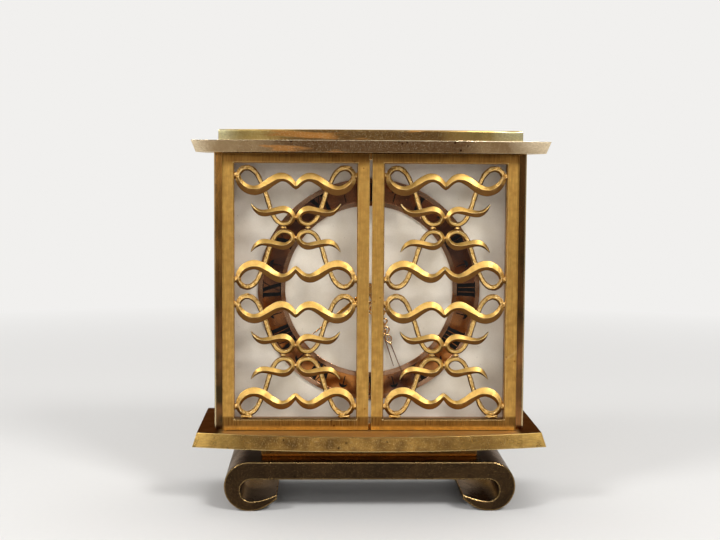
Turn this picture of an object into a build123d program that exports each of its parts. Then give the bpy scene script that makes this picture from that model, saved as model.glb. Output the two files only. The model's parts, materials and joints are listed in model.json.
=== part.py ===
from build123d import *
from math import cos, pi, radians, sin
import os

os.makedirs("parts", exist_ok=True)

# Brass table clock: a scroll-footed stand carries a square case between two
# bow-fronted plates. Two pierced doors cover the recessed dial.
# Millimetres. X runs to the right, Y to the back, Z up. The origin is the middle
# of the footprint, on the surface that the clock stands on.

# Top and base plates
plate_side_overhang = 10.6
plate_back_overhang = 5.5
plate_bow = 11.7
plate_flare = 2.2
corner_overhang = 4.6
base_thickness = 7.0
top_thickness = 6.0

# Raised slab on the top plate
slab_side_inset = 13.0
slab_thickness = 5.5
slab_bow = 8.9
slab_front_inset = 8.9
slab_back_inset = 8.0
slab_edge_round = 0.8

# Stand with its rolled feet, and the plinth between stand and base plate
stand_height = 25.0
stand_bar = 9.1
stand_front = 12.0
stand_depth = 70.0
foot_centre = 61.1
foot_lowest = 4.9
foot_hollow_reach = 4.4
foot_tip_reach = 14.1
foot_tip_under = 6.0
foot_tip_top = 8.4
foot_flat_sink = 0.15
foot_tip_slope = (0.8, 0.6)
foot_lip_slope = (-0.93, -0.36)
hollow_low_shift = 1.3
hollow_high_shift = 0.9
stand_edge_chamfer = 0.4
plinth_side_inset = 34.7
plinth_height = 6.5
plinth_depth = 46.0

# Case
case_width = 158.8
case_height = 141.8
side_wall = 3.0
front_frame_thickness = 3.0
window_margin = 3.5
window_edge_chamfer = 0.5
surround_wall = 1.2
rear_panel_thickness = 2.5
rear_panel_recess = 4.0
rear_aperture_radius = 32.5
rear_cover_radius = 36.5
rear_cover_thickness = 1.2
tie_rod_inset = 6.0
tie_rod_surround_gap = 0.38
movement_back_space = 5.5
dial_rod_side_inset = 6.0
dial_rod_end_inset = 13.0

# Doors
door_side_margin = 4.2
door_gap = 1.4
door_thickness = 3.0
door_end_gap = 0.4
door_case_gap = 0.5
door_stile = 6.2
door_top_rail = 5.0
door_bottom_rail = 5.7
door_window_chamfer = 0.5
hinge_inset = 1.6
hinge_pin_radius = 1.0
hinge_pin_in_plate = 2.7
hinge_pin_in_door = 4.0
hinge_front_round = 1.0
hinge_back_round = 1.3

# Pierced scrollwork. A pattern of four scrolls is drawn once and fitted to half an opening.
scroll_drawn_half_width = 31.05
scroll_drawn_half_height = 32.58
scroll_ridge_height = 1.4
scroll_strand_height = 1.2
scroll_set_back = 0.15
scroll_layer_gap = 0.03
sections_per_point = 2
lug_height = 2.4
lug_thickness = 1.4

# Dial and hands
dial_recess = 20.0
dial_thickness = 1.2
ring_outer_radius = 57.9
ring_inner_radius = 43.7
ring_rim_width = 2.3
ring_thickness = 0.6
ring_rim_rise = 0.5
minute_hand_length = 47.3
hour_hand_length = 42.2
alarm_hand_length = 37.5
minute_hand_angle = 158.1
hour_hand_angle = 162.0
alarm_hand_angle = 231.3
hand_thickness = 0.5
hand_spacing = 0.6
dial_to_alarm_hand = 0.9
hand_hub_radius = 3.4
hand_nut_radius = 2.0
hand_nut_height = 1.0
hand_root = 2.0
ring_share = 0.28
leaf_low_share = 0.31
leaf_high_share = 0.62
eye_share = 0.65
hand_ring_radius = 1.7
hand_eye_radius = 1.3
hand_piercing_wall = 0.7
hand_stalk_width = 1.7
hand_neck_width = 1.1
leaf_width = 4.4
leaf_piercing_width = 1.9
leaf_piercing_inset = 2.4
leaf_bridge = 1.2
needle_root_width = 1.0
needle_tip_width = 0.3
baton_root_width = 2.7
baton_tip_width = 0.35

# Movement
plate_disc_radius = 32.0
plate_disc_thickness = 1.5
motion_space = 7.3
train_space = 14.5
pillar_radius = 1.8
pillar_ring_radius = 27.5
dial_foot_radius = 1.2
arbor_radius = 0.9
pipe_wall = 0.65
pivot_radius = 0.5
wheel_thickness = 1.0
wheel_gap = 0.8
tooth_tip_reach = 0.55
tooth_root_depth = 0.95
tooth_tip_share = 0.09
tooth_root_share = 0.36
motion_module = 0.5
train_module = 0.35
barrel_module = 0.4
cannon_teeth = 12
minute_wheel_teeth = 36
minute_pinion_teeth = 10
hour_wheel_teeth = 40
alarm_wheel_teeth = 36
alarm_pinion_teeth = 12
train_pinion_teeth = 8
train_wheel_teeth = 48
motion_direction = -60.0
alarm_direction = 150.0
train_direction = 240.0
barrel_direction = 161.3
barrel_drum_radius = 8.6
barrel_drum_length = 5.7
barrel_front_space = 3.5
barrel_collar_width = 1.0
post_head_width = 0.5
barrel_arbor_radius = 1.2
alarm_barrel_x = 15.5
alarm_barrel_z = -6.0
alarm_barrel_length = 11.0
balance_x = 6.0
balance_z = 16.0
balance_radius = 5.0
balance_rim_width = 1.0
balance_arm_width = 1.0
balance_back_space = 5.0
platform_overlap = 3.2
platform_thickness = 1.5
cock_post_radius = 1.2
cock_post_gap = 0.4
cock_thickness = 1.2
cock_rise = 3.0
hammer_x = 19.0
hammer_z = 9.0
hammer_reach = 7.4
hammer_lean = 19.6
hammer_head_radius = 2.2
hammer_swing = 8.0
hammer_head_length = 4.0
hammer_arm_width = 1.8
hammer_arm_thickness = 1.6

# Controls at the back
control_gap = 1.0
knob_length = 5.5
setting_knob_radius = 4.5
alarm_knob_radius = 4.0
knob_flutes = 16
knob_flute_depth = 0.35
knob_neck_length = 1.0
knob_neck_share = 0.7
key_reach = 6.5
key_width = 3.0
key_hub_radius = 2.2
key_wing_rise = 1.5
stop_button_z = 20.0
stop_button_radius = 1.5
stop_button_cap_radius = 2.5
stop_button_travel = 2.5
stop_button_cap_height = 2.7

# Fasteners and clearances
running_fit = 0.05
fixed_fit = 0.02
free_gap = 0.3
screw_shank = 2.0
screw_head = 3.8
screw_head_height = 2.6
stand_screw_x = 35.0
small_screw_shank = 1.2
small_screw_head = 2.4
small_screw_head_height = 1.0
small_screw_end_gap = 0.2
panel_screw_in_rod = 4.5
panel_screw_hole = 6.0
tie_rod_radius = 2.0
rod_socket = 3.0
nut_radius = 4.0
nut_height = 2.6
counterbore_depth = 3.0
dial_rod_radius = 2.0

# Widths
plate_width = case_width + 2 * plate_side_overhang
slab_width = plate_width - 2 * slab_side_inset
plinth_width = plate_width - 2 * plinth_side_inset
door_pair_width = case_width - 2 * door_side_margin

# Heights
base_bottom = stand_height + plinth_height
base_top = base_bottom + base_thickness
case_top = base_top + case_height
top_plate_top = case_top + top_thickness
slab_top = top_plate_top + slab_thickness
dial_z = base_top + case_height / 2

# Depths, from the front face of the doors
movement_depth = motion_space + train_space + 2 * plate_disc_thickness
panel_depth = rear_panel_thickness + rear_panel_recess
case_depth = dial_recess + dial_thickness + movement_depth + movement_back_space + panel_depth
plate_depth = corner_overhang + case_depth + plate_back_overhang
front_reach = corner_overhang + plate_bow + plate_flare
back_reach = plate_depth - corner_overhang
door_front = (front_reach - back_reach) / 2
door_back = door_front + door_thickness
case_front = door_back + door_case_gap
frame_back = case_front + front_frame_thickness
dial_front = door_front + dial_recess
dial_back = dial_front + dial_thickness
case_back = door_front + case_depth
panel_back = case_back - rear_panel_recess
panel_front = panel_back - rear_panel_thickness
cover_back = panel_back + rear_cover_thickness
control_front = cover_back + control_gap
front_plate_front = dial_back + motion_space
front_plate_back = front_plate_front + plate_disc_thickness
back_plate_front = front_plate_back + train_space
back_plate_back = back_plate_front + plate_disc_thickness
plate_corner_y = door_front - corner_overhang
plate_back_y = plate_corner_y + plate_depth
middle_y = (plate_back_y + door_front) / 2


def save(node, solid):
    solid.label = node
    export_step(solid, "parts/" + node + ".step")


def box_between(low, high):
    size = [high[i] - low[i] for i in range(3)]
    middle = [(high[i] + low[i]) / 2 for i in range(3)]
    return Pos(*middle) * Box(*size)


def rod_y(x, z, front, back, radius):
    return Pos(x, (front + back) / 2, z) * Rot(90, 0, 0) * Cylinder(radius, back - front)


def rod_z(x, y, bottom, top, radius):
    return Pos(x, y, (bottom + top) / 2) * Cylinder(radius, top - bottom)


def group(solids):
    return Compound(children=[solid.solid() for solid in solids])


# Plan of a bow-fronted plate: an arc at the front, straight ends, straight back
def bow_plan(half_width, corner_y, bow, back_y, height):
    front = ThreePointArc((-half_width, corner_y), (0, corner_y - bow), (half_width, corner_y))
    back_corners = ((half_width, back_y), (-half_width, back_y))
    rest = Polyline((half_width, corner_y), *back_corners, (-half_width, corner_y))
    return Pos(0, 0, height) * make_face(front.edges() + rest.edges())


wide_half = plate_width / 2
narrow_half = wide_half - plate_flare
case_half = case_width / 2
tie_rod_x = case_half - side_wall - tie_rod_radius - fixed_fit
tie_rod_ys = (frame_back + tie_rod_inset, panel_front - tie_rod_inset)
tie_rod_places = [(side * tie_rod_x, y) for side in (-1, 1) for y in tie_rod_ys]
hinge_x = door_pair_width / 2 - hinge_inset
hinge_y = door_front + door_thickness / 2
hinge_socket = hinge_pin_in_plate + free_gap
screw_places = [(-stand_screw_x, middle_y), (stand_screw_x, middle_y)]


def base_plate():
    upper = bow_plan(narrow_half, plate_corner_y, plate_bow, plate_back_y, base_top)
    lower = bow_plan(wide_half, plate_corner_y - plate_flare, plate_bow, plate_back_y, base_bottom)
    plate = loft([lower, upper], ruled=True)
    for x in (-hinge_x, hinge_x):
        plate -= rod_z(x, hinge_y, base_top - hinge_socket, base_top, hinge_pin_radius + running_fit)
    for x, y in tie_rod_places:
        plate -= rod_z(x, y, base_bottom, base_top, tie_rod_radius + fixed_fit)
        plate -= rod_z(x, y, base_bottom, base_bottom + counterbore_depth, nut_radius + free_gap)
    for x, y in screw_places:
        plate -= rod_z(x, y, base_bottom, base_bottom + rod_socket, screw_shank + fixed_fit)
    return plate


def top_plate():
    lower = bow_plan(narrow_half, plate_corner_y, plate_bow, plate_back_y, case_top)
    upper = bow_plan(wide_half, plate_corner_y - plate_flare, plate_bow, plate_back_y, top_plate_top)
    plate = loft([lower, upper], ruled=True)
    for x in (-hinge_x, hinge_x):
        plate -= rod_z(x, hinge_y, case_top, case_top + hinge_socket, hinge_pin_radius + running_fit)
    for x, y in tie_rod_places:
        plate -= rod_z(x, y, case_top, case_top + rod_socket, tie_rod_radius + fixed_fit)
    for x, y in screw_places:
        plate -= rod_z(x, y, case_top, top_plate_top, screw_shank + fixed_fit)
        plate -= rod_z(x, y, case_top, case_top + counterbore_depth, screw_head + free_gap)
    return plate


def top_slab():
    corner_y = plate_corner_y - plate_flare + slab_front_inset
    plan = bow_plan(slab_width / 2, corner_y, slab_bow, plate_back_y - slab_back_inset, top_plate_top)
    slab = extrude(plan, slab_thickness)
    slab = fillet(slab.faces().sort_by(Axis.Z)[-1].edges(), slab_edge_round)
    for x, y in screw_places:
        slab -= rod_z(x, y, top_plate_top, top_plate_top + rod_socket, screw_shank + fixed_fit)
    return slab


# The stand is one bar that rolls under at both ends into open scroll feet.
# Its section is drawn for one half, mirrored, and run from front to back.
def scroll_stand():
    foot_radius = (stand_height + foot_flat_sink) / 2
    hollow_top = stand_height - stand_bar
    hollow_bend = (hollow_top + foot_lowest) / 2
    outer_top = (-foot_centre, stand_height)
    outer_side = (-foot_centre - foot_radius, stand_height - foot_radius)
    outer_low = (-foot_centre, -foot_flat_sink)
    foot_tip = foot_tip_reach - foot_centre
    tip_under = (foot_tip, foot_tip_under)
    tip_top = (foot_tip, foot_tip_top)
    hollow_low = (-foot_centre + hollow_low_shift, foot_lowest)
    hollow_side = (-foot_centre - foot_hollow_reach, hollow_bend)
    hollow_high = (-foot_centre + hollow_high_shift, hollow_top)
    outline = [
        Line((0, stand_height), outer_top),
        ThreePointArc(outer_top, outer_side, outer_low),
        Spline(outer_low, tip_under, tangents=[(1, 0), foot_tip_slope]),
        Line(tip_under, tip_top),
        Spline(tip_top, hollow_low, tangents=[foot_lip_slope, (-1, 0)]),
        ThreePointArc(hollow_low, hollow_side, hollow_high),
        Line(hollow_high, (0, hollow_top)),
        Line((0, hollow_top), (0, stand_height)),
    ]
    half = make_face(outline)
    section = half + mirror(half, about=Plane.YZ)
    front = door_front - stand_front
    stand = extrude(Plane((0, front, 0), x_dir=(1, 0, 0), z_dir=(0, -1, 0)) * section, -stand_depth)
    ends = stand.faces().filter_by(Axis.Y)
    stand = chamfer(ends.edges(), stand_edge_chamfer)
    stand -= box_between((-plate_width, front, -foot_flat_sink), (plate_width, front + stand_depth, 0))
    for x, y in screw_places:
        stand -= rod_z(x, y, hollow_top, stand_height, screw_shank + fixed_fit)
        stand -= rod_z(x, y, hollow_top, hollow_top + counterbore_depth, screw_head + free_gap)
    return stand


def spacer_plinth():
    low = (-plinth_width / 2, door_front, stand_height)
    plinth = box_between(low, (plinth_width / 2, door_front + plinth_depth, base_bottom))
    plinth = chamfer(plinth.edges().filter_by(Axis.Z), stand_edge_chamfer)
    for x, y in screw_places:
        plinth -= rod_z(x, y, stand_height, base_bottom, screw_shank + fixed_fit)
    return plinth


def headed_screw(x, y, seat, direction, length):
    shank_ends = sorted((seat, seat + direction * length))
    head_ends = sorted((seat, seat - direction * screw_head_height))
    screw = rod_z(x, y, shank_ends[0], shank_ends[1], screw_shank)
    screw += rod_z(x, y, head_ends[0], head_ends[1], screw_head)
    return screw


def tie_nut(x, y):
    outline = RegularPolygon(nut_radius, 6)
    nut = extrude(Pos(x, y, base_bottom + counterbore_depth - nut_height) * outline, nut_height)
    return nut - rod_z(x, y, base_bottom, base_top, tie_rod_radius + fixed_fit)


window_half = tie_rod_x - tie_rod_radius - tie_rod_surround_gap - surround_wall
window_low = base_top + window_margin
window_high = case_top - window_margin


def case_side(side):
    ends = sorted((side * case_half, side * (case_half - side_wall)))
    return box_between((ends[0], frame_back, base_top), (ends[1], case_back, case_top))


def case_front_frame():
    frame = box_between((-case_half, case_front, base_top), (case_half, frame_back, case_top))
    upright = frame.edges().filter_by(Axis.Z).sort_by(Axis.Y)[:2]
    frame = chamfer(upright, window_edge_chamfer)
    frame -= box_between((-window_half, case_front, window_low), (window_half, frame_back, window_high))
    return frame


def dial_surround():
    wall = surround_wall
    low = (-window_half - wall, frame_back, window_low - wall)
    tube = box_between(low, (window_half + wall, dial_front, window_high + wall))
    return tube - box_between((-window_half, frame_back, window_low), (window_half, dial_front, window_high))


panel_half = case_half - side_wall
dial_rod_x = window_half - dial_rod_side_inset
dial_rod_levels = (base_top + dial_rod_end_inset, case_top - dial_rod_end_inset)
dial_rod_places = [(x, z) for x in (-dial_rod_x, dial_rod_x) for z in dial_rod_levels]
cover_screw_radius = (rear_aperture_radius + rear_cover_radius) / 2
cover_screw_places = [
    (cover_screw_radius * cos(radians(angle)), dial_z + cover_screw_radius * sin(radians(angle)))
    for angle in (45, 135, 225, 315)
]

motion_distance = motion_module * (cannon_teeth + minute_wheel_teeth) / 2
hour_module = 2 * motion_distance / (minute_pinion_teeth + hour_wheel_teeth)
alarm_distance = motion_module * (alarm_pinion_teeth + alarm_wheel_teeth) / 2
train_distance = train_module * (train_pinion_teeth + train_wheel_teeth) / 2
barrel_distance = barrel_module * (train_pinion_teeth + train_wheel_teeth) / 2


def place_from(x, z, distance, direction):
    return (x + distance * cos(radians(direction)), z + distance * sin(radians(direction)))


motion_x, motion_z = place_from(0, dial_z, motion_distance, motion_direction)
alarm_x, alarm_z = place_from(0, dial_z, alarm_distance, alarm_direction)
train_x, train_z = place_from(0, dial_z, train_distance, train_direction)
barrel_x, barrel_z = place_from(train_x, train_z, barrel_distance, barrel_direction)
stop_z = dial_z + stop_button_z
pipe_bore = arbor_radius + running_fit
pipe_radius = pipe_bore + pipe_wall
alarm_pipe_bore = pipe_radius + running_fit
alarm_pipe_radius = alarm_pipe_bore + pipe_wall
arbor_places = [
    (0, dial_z, arbor_radius),
    (alarm_x, alarm_z, arbor_radius),
    (barrel_x, barrel_z, barrel_arbor_radius),
    (alarm_barrel_x, dial_z + alarm_barrel_z, barrel_arbor_radius),
]
pivot_places = [(train_x, train_z), (hammer_x, dial_z + hammer_z)]
pillar_places = [place_from(0, dial_z, pillar_ring_radius, angle) for angle in (0, 90, 180, 270)]
dial_foot_places = [place_from(0, dial_z, pillar_ring_radius, angle) for angle in (45, 135, 225, 315)]


def rear_panel():
    panel = box_between((-panel_half, panel_front, base_top), (panel_half, panel_back, case_top))
    panel -= rod_y(0, dial_z, panel_front, panel_back, rear_aperture_radius)
    for x, z in dial_rod_places:
        panel -= rod_y(x, z, panel_front, panel_back, small_screw_shank + fixed_fit)
    for x, z in cover_screw_places:
        panel -= rod_y(x, z, panel_front, panel_back, small_screw_shank + fixed_fit)
    return panel


def rear_cover():
    cover = rod_y(0, dial_z, panel_back, cover_back, rear_cover_radius)
    for x, z, radius in arbor_places:
        cover -= rod_y(x, z, panel_back, cover_back, radius + free_gap)
    cover -= rod_y(0, stop_z, panel_back, cover_back, stop_button_radius + running_fit)
    for x, z in cover_screw_places:
        cover -= rod_y(x, z, panel_back, cover_back, small_screw_shank + fixed_fit)
    return cover


def small_screw(x, z, seat, length):
    screw = rod_y(x, z, seat - length, seat, small_screw_shank)
    screw += rod_y(x, z, seat, seat + small_screw_head_height, small_screw_head)
    return screw


def dial_rod(x, z):
    rod = rod_y(x, z, dial_back, panel_front, dial_rod_radius)
    return rod - rod_y(x, z, panel_front - panel_screw_hole, panel_front, small_screw_shank + fixed_fit)


# Doors. A door is drawn for the left side and mirrored for the right.
door_bottom = base_top + door_end_gap
door_top = case_top - door_end_gap
door_outer = -door_pair_width / 2
door_inner = -door_gap / 2
opening_left = door_outer + door_stile
opening_right = door_inner - door_stile
opening_low = door_bottom + door_bottom_rail
opening_high = door_top - door_top_rail
opening_x = (opening_left + opening_right) / 2
opening_half = (opening_right - opening_left) / 2
cell_half = (opening_high - opening_low) / 4
cell_centres = [opening_low + cell_half, opening_high - cell_half]


def door_frame():
    frame = box_between((door_outer, door_front, door_bottom), (door_inner, door_back, door_top))
    hinge_edges = frame.edges().filter_by(Axis.Z).sort_by(Axis.X)[:2].sort_by(Axis.Y)
    frame = fillet(hinge_edges[0], hinge_front_round)
    back_edge = frame.edges().filter_by(Axis.Z).group_by(Axis.Y)[-1].sort_by(Axis.X)[0]
    frame = fillet(back_edge, hinge_back_round)
    frame -= box_between((opening_left, door_front, opening_low), (opening_right, door_back, opening_high))
    front_face = frame.faces().filter_by(Axis.Y).sort_by(Axis.Y)[0]
    frame = chamfer(front_face.inner_wires()[0].edges(), door_window_chamfer)
    low_socket = (door_bottom, door_bottom + hinge_pin_in_door)
    high_socket = (door_top - hinge_pin_in_door, door_top)
    for low, high in (low_socket, high_socket):
        frame -= rod_z(-hinge_x, hinge_y, low, high, hinge_pin_radius + fixed_fit)
    return frame


def hinge_pins():
    low_ends = (base_top - hinge_pin_in_plate, door_bottom + hinge_pin_in_door)
    high_ends = (door_top - hinge_pin_in_door, case_top + hinge_pin_in_plate)
    return [rod_z(-hinge_x, hinge_y, low, high, hinge_pin_radius) for low, high in (low_ends, high_ends)]


# One scroll: a pointed bar that curls round under itself, climbs as a flat strand
# behind both bars, loops at the corner and swells into the long upper bar.
# Each entry is x, z, width and how far the front ridge lies behind the face of
# the scrollwork, from the centre of the pattern, for its upper left quarter.
back_layer = scroll_ridge_height + scroll_layer_gap
drawn_scroll = [
    (-22.7, 12.2, 0.5, 0.6),
    (-20.4, 9.2, 2.3, 0.3),
    (-16.8, 7.4, 3.7, 0.0),
    (-11.4, 8.2, 3.9, 0.0),
    (-6.2, 9.3, 3.9, 0.0),
    (-3.1, 8.1, 3.2, 0.0),
    (-1.4, 5.4, 2.7, 0.2),
    (-2.9, 2.7, 2.6, 0.5),
    (-6.2, 1.8, 2.6, 0.8),
    (-9.1, 3.0, 2.7, 1.2),
    (-11.3, 5.8, 2.9, back_layer),
    (-13.4, 11.0, 3.0, back_layer),
    (-15.2, 17.0, 3.0, back_layer),
    (-17.4, 22.3, 2.8, back_layer),
    (-19.6, 26.8, 2.7, 1.2),
    (-22.4, 29.6, 2.5, 0.8),
    (-25.5, 30.2, 2.5, 0.5),
    (-28.2, 28.8, 2.6, 0.2),
    (-29.2, 26.2, 2.7, 0.1),
    (-28.2, 22.9, 3.2, 0.0),
    (-25.2, 20.0, 4.1, 0.0),
    (-20.9, 18.8, 4.6, 0.0),
    (-16.4, 20.3, 4.6, 0.0),
    (-12.2, 23.4, 4.4, 0.0),
    (-7.9, 25.5, 4.0, 0.0),
    (-4.0, 24.7, 3.4, 0.0),
    (0.0, 20.7, 2.6, 0.0),
]
pattern_stretch_x = opening_half / scroll_drawn_half_width
pattern_stretch_z = cell_half / scroll_drawn_half_height
scroll_points = [(x * pattern_stretch_x, z * pattern_stretch_z, *rest) for x, z, *rest in drawn_scroll]
tip_direction = (0.5, -0.9)
cusp_direction = (0.6, -0.8)
curl_bottom = scroll_points[8]
loop_side = scroll_points[18]


def eased_value(column, position):
    index = min(int(position), len(scroll_points) - 2)
    share = position - index
    eased = share * share * (3 - 2 * share)
    return scroll_points[index][column] * (1 - eased) + scroll_points[index + 1][column] * eased


# A scroll has a flat back and two bevels that meet in a ridge along its front
def scroll_section(point, across, width, ridge, height):
    corners = [(-width / 2, ridge + height), (0, ridge), (width / 2, ridge + height)]
    placed = [(point.X + across.X * reach, depth, point.Y + across.Y * reach) for reach, depth in corners]
    return make_face(Polyline(*placed, close=True))


def scroll():
    path = Spline(*[entry[:2] for entry in scroll_points], tangents=[tip_direction, cusp_direction])
    stations = [path.param_at_point(entry[:2]) for entry in scroll_points]
    last = (len(stations) - 1) * sections_per_point
    sections = []
    for step in range(last + 1):
        position = step / sections_per_point
        index = min(int(position), len(stations) - 2)
        station = stations[index] + (stations[index + 1] - stations[index]) * (position - index)
        along = path.tangent_at(station)
        across = Vector(0, 1, 0) if step == last else Vector(-along.Y, along.X, 0)
        depth = eased_value(3, position)
        height = scroll_ridge_height + (scroll_strand_height - scroll_ridge_height) * depth / back_layer
        ridge = door_front + scroll_set_back + depth
        width = eased_value(2, position)
        sections.append(scroll_section(path.position_at(station), across, width, ridge, height))
    return loft(sections, ruled=True)


# A pattern is four scrolls that meet at the middle, soldered to each other at
# their curls and to the door frame beside their loops
def scroll_cell():
    upper_left = scroll()
    upper_right = mirror(upper_left, about=Plane.YZ)
    pieces = [upper_left, upper_right]
    pieces += [mirror(piece, about=Plane.XY) for piece in (upper_left, upper_right)]
    bead_radius = curl_bottom[1] - curl_bottom[2] / 2 - fixed_fit
    bead_front = door_front + scroll_set_back + curl_bottom[3]
    bead_back = bead_front + scroll_strand_height
    lug_front = door_front + (door_thickness - lug_thickness) / 2
    lug_reach = -loop_side[0] + loop_side[2] / 2 + fixed_fit
    for side in (-1, 1):
        pieces.append(rod_y(side * curl_bottom[0], 0, bead_front, bead_back, bead_radius))
        across = sorted((side * opening_half, side * lug_reach))
        for level in (-loop_side[1], loop_side[1]):
            low = (across[0], lug_front, level - lug_height / 2)
            pieces.append(box_between(low, (across[1], lug_front + lug_thickness, level + lug_height / 2)))
    return pieces


def flip(solid):
    return mirror(solid, about=Plane.YZ)


# A flat ring with a raised rim along both edges
def chapter_ring():
    ring = rod_y(0, dial_z, dial_front - ring_thickness, dial_front, ring_outer_radius)
    rim_front = dial_front - ring_thickness - ring_rim_rise
    rim_back = dial_front - ring_thickness
    for radius in (ring_outer_radius, ring_inner_radius + ring_rim_width):
        rim = rod_y(0, dial_z, rim_front, rim_back, radius)
        ring += rim - rod_y(0, dial_z, rim_front, rim_back, radius - ring_rim_width)
    return ring - rod_y(0, dial_z, rim_front, dial_front, ring_inner_radius)


def dial_plate():
    half = window_half + surround_wall
    low = window_low - surround_wall
    plate = box_between((-half, dial_front, low), (half, dial_back, window_high + surround_wall))
    return plate - rod_y(0, dial_z, dial_front, dial_back, alarm_pipe_radius + free_gap)


def lens(low, high, width):
    left = ThreePointArc((0, low), (-width / 2, (low + high) / 2), (0, high))
    right = ThreePointArc((0, high), (width / 2, (low + high) / 2), (0, low))
    return make_face([left, right])


def taper(low, high, low_width, high_width):
    corners = ((-low_width / 2, low), (low_width / 2, low), (high_width / 2, high), (-high_width / 2, high))
    return make_face(Polyline(*corners, close=True))


def stand_up(flat, angle, front, thickness):
    blade = extrude(Plane((0, front, dial_z), x_dir=(1, 0, 0), z_dir=(0, -1, 0)) * flat, -thickness)
    return blade.rotate(Axis((0, 0, dial_z), (0, 1, 0)), angle)


# A hand with a pierced leaf between two small rings, then a long needle
def pierced_hand(length, angle, front, bore):
    leaf_low = leaf_low_share * length
    leaf_high = leaf_high_share * length
    leaf_middle = (leaf_low + leaf_high) / 2
    flat = Circle(hand_hub_radius) + taper(hand_root, leaf_low, hand_stalk_width, hand_neck_width)
    flat += lens(leaf_low, leaf_high, leaf_width)
    flat += taper(leaf_high - leaf_bridge, length, needle_root_width, needle_tip_width)
    flat -= lens(leaf_low + leaf_piercing_inset, leaf_middle - leaf_bridge / 2, leaf_piercing_width)
    flat -= lens(leaf_middle + leaf_bridge / 2, leaf_high - leaf_piercing_inset, leaf_piercing_width)
    for share, radius in ((ring_share, hand_ring_radius), (eye_share, hand_eye_radius)):
        centre = Pos(0, share * length)
        flat = flat + centre * Circle(radius) - centre * Circle(radius - hand_piercing_wall)
    return stand_up(flat - Circle(bore), angle, front, hand_thickness)


def baton_hand(length, angle, front, bore):
    flat = Circle(hand_hub_radius) + taper(hand_root, length, baton_root_width, baton_tip_width)
    return stand_up(flat - Circle(bore), angle, front, hand_thickness)


# A wheel or pinion with straight-sided teeth. A tooth points along phase degrees.
def toothed(x, z, front, back, teeth, module, phase):
    pitch_radius = module * teeth / 2
    tip_radius = pitch_radius + tooth_tip_reach * module
    root_radius = pitch_radius - tooth_root_depth * module
    pitch_angle = 2 * pi / teeth
    corners = [(-tooth_root_share, root_radius), (-tooth_tip_share, tip_radius)]
    corners += [(tooth_tip_share, tip_radius), (tooth_root_share, root_radius)]
    points = []
    for tooth in range(teeth):
        angle = radians(phase) + tooth * pitch_angle
        for turn, radius in corners:
            place = angle + turn * pitch_angle
            points.append((x + radius * cos(place), front, z + radius * sin(place)))
    return extrude(make_face(Polyline(*points, close=True)), back - front, dir=(0, 1, 0))


alarm_hand_back = dial_front - dial_to_alarm_hand
alarm_hand_front = alarm_hand_back - hand_thickness
hour_hand_front = alarm_hand_front - hand_spacing - hand_thickness
minute_hand_front = hour_hand_front - hand_spacing - hand_thickness
arbor_tip = minute_hand_front - hand_nut_height / 2
alarm_level = dial_back + wheel_gap
hour_level = alarm_level + wheel_thickness + wheel_gap
minute_level = hour_level + wheel_thickness + wheel_gap
barrel_level = front_plate_back + barrel_front_space
train_level = barrel_level + barrel_drum_length + wheel_gap
control_back = control_front + knob_length
arbor_end = control_front + knob_length / 2


def centre_arbor():
    arbor = rod_y(0, dial_z, arbor_tip, arbor_end, arbor_radius)
    cannon_back = front_plate_front - free_gap
    cannon_front = minute_level - free_gap
    arbor += toothed(0, dial_z, cannon_front, cannon_back, cannon_teeth, motion_module, motion_direction)
    pinion_front = train_level - free_gap
    pinion_back = train_level + wheel_thickness + free_gap
    arbor += toothed(0, dial_z, pinion_front, pinion_back, train_pinion_teeth, train_module, train_direction)
    return arbor


def hour_wheel():
    gap_phase = motion_direction + 180 / hour_wheel_teeth
    back = hour_level + wheel_thickness
    wheel = toothed(0, dial_z, hour_level, back, hour_wheel_teeth, hour_module, gap_phase)
    wheel += rod_y(0, dial_z, hour_hand_front, back, pipe_radius)
    return wheel - rod_y(0, dial_z, hour_hand_front, back, pipe_bore)


def alarm_wheel():
    gap_phase = alarm_direction + 180 / alarm_wheel_teeth
    back = alarm_level + wheel_thickness
    wheel = toothed(0, dial_z, alarm_level, back, alarm_wheel_teeth, motion_module, gap_phase)
    wheel += rod_y(0, dial_z, alarm_hand_front, back, alarm_pipe_radius)
    return wheel - rod_y(0, dial_z, alarm_hand_front, back, alarm_pipe_bore)


def minute_wheel():
    x, z = motion_x, motion_z
    wheel_back = minute_level + wheel_thickness
    wheel_phase = motion_direction + 180 + 180 / minute_wheel_teeth
    pinion_phase = motion_direction + 180
    wheel = toothed(x, z, minute_level, wheel_back, minute_wheel_teeth, motion_module, wheel_phase)
    wheel += toothed(x, z, hour_level, minute_level, minute_pinion_teeth, hour_module, pinion_phase)
    return wheel - rod_y(x, z, hour_level, wheel_back, arbor_radius + running_fit)


def minute_wheel_post():
    head_front = hour_level - free_gap - hand_thickness
    post = rod_y(motion_x, motion_z, head_front, front_plate_front, arbor_radius)
    post += rod_y(motion_x, motion_z, head_front, head_front + hand_thickness, arbor_radius + post_head_width)
    return post


def fluted_knob(x, z, radius):
    grip_front = control_front + knob_neck_length
    points = []
    for step in range(2 * knob_flutes):
        reach = radius if step % 2 == 0 else radius - knob_flute_depth
        angle = pi * step / knob_flutes
        points.append((x + reach * cos(angle), grip_front, z + reach * sin(angle)))
    knob = extrude(make_face(Polyline(*points, close=True)), control_back - grip_front, dir=(0, 1, 0))
    knob += rod_y(x, z, control_front, grip_front, knob_neck_share * radius)
    return knob - rod_y(x, z, control_front, arbor_end, arbor_radius + fixed_fit)


def alarm_setting_arbor():
    phase = alarm_direction + 180
    back = alarm_level + wheel_thickness
    arbor = rod_y(alarm_x, alarm_z, dial_back + free_gap, arbor_end, arbor_radius)
    arbor += toothed(alarm_x, alarm_z, alarm_level, back, alarm_pinion_teeth, motion_module, phase)
    return arbor


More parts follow.
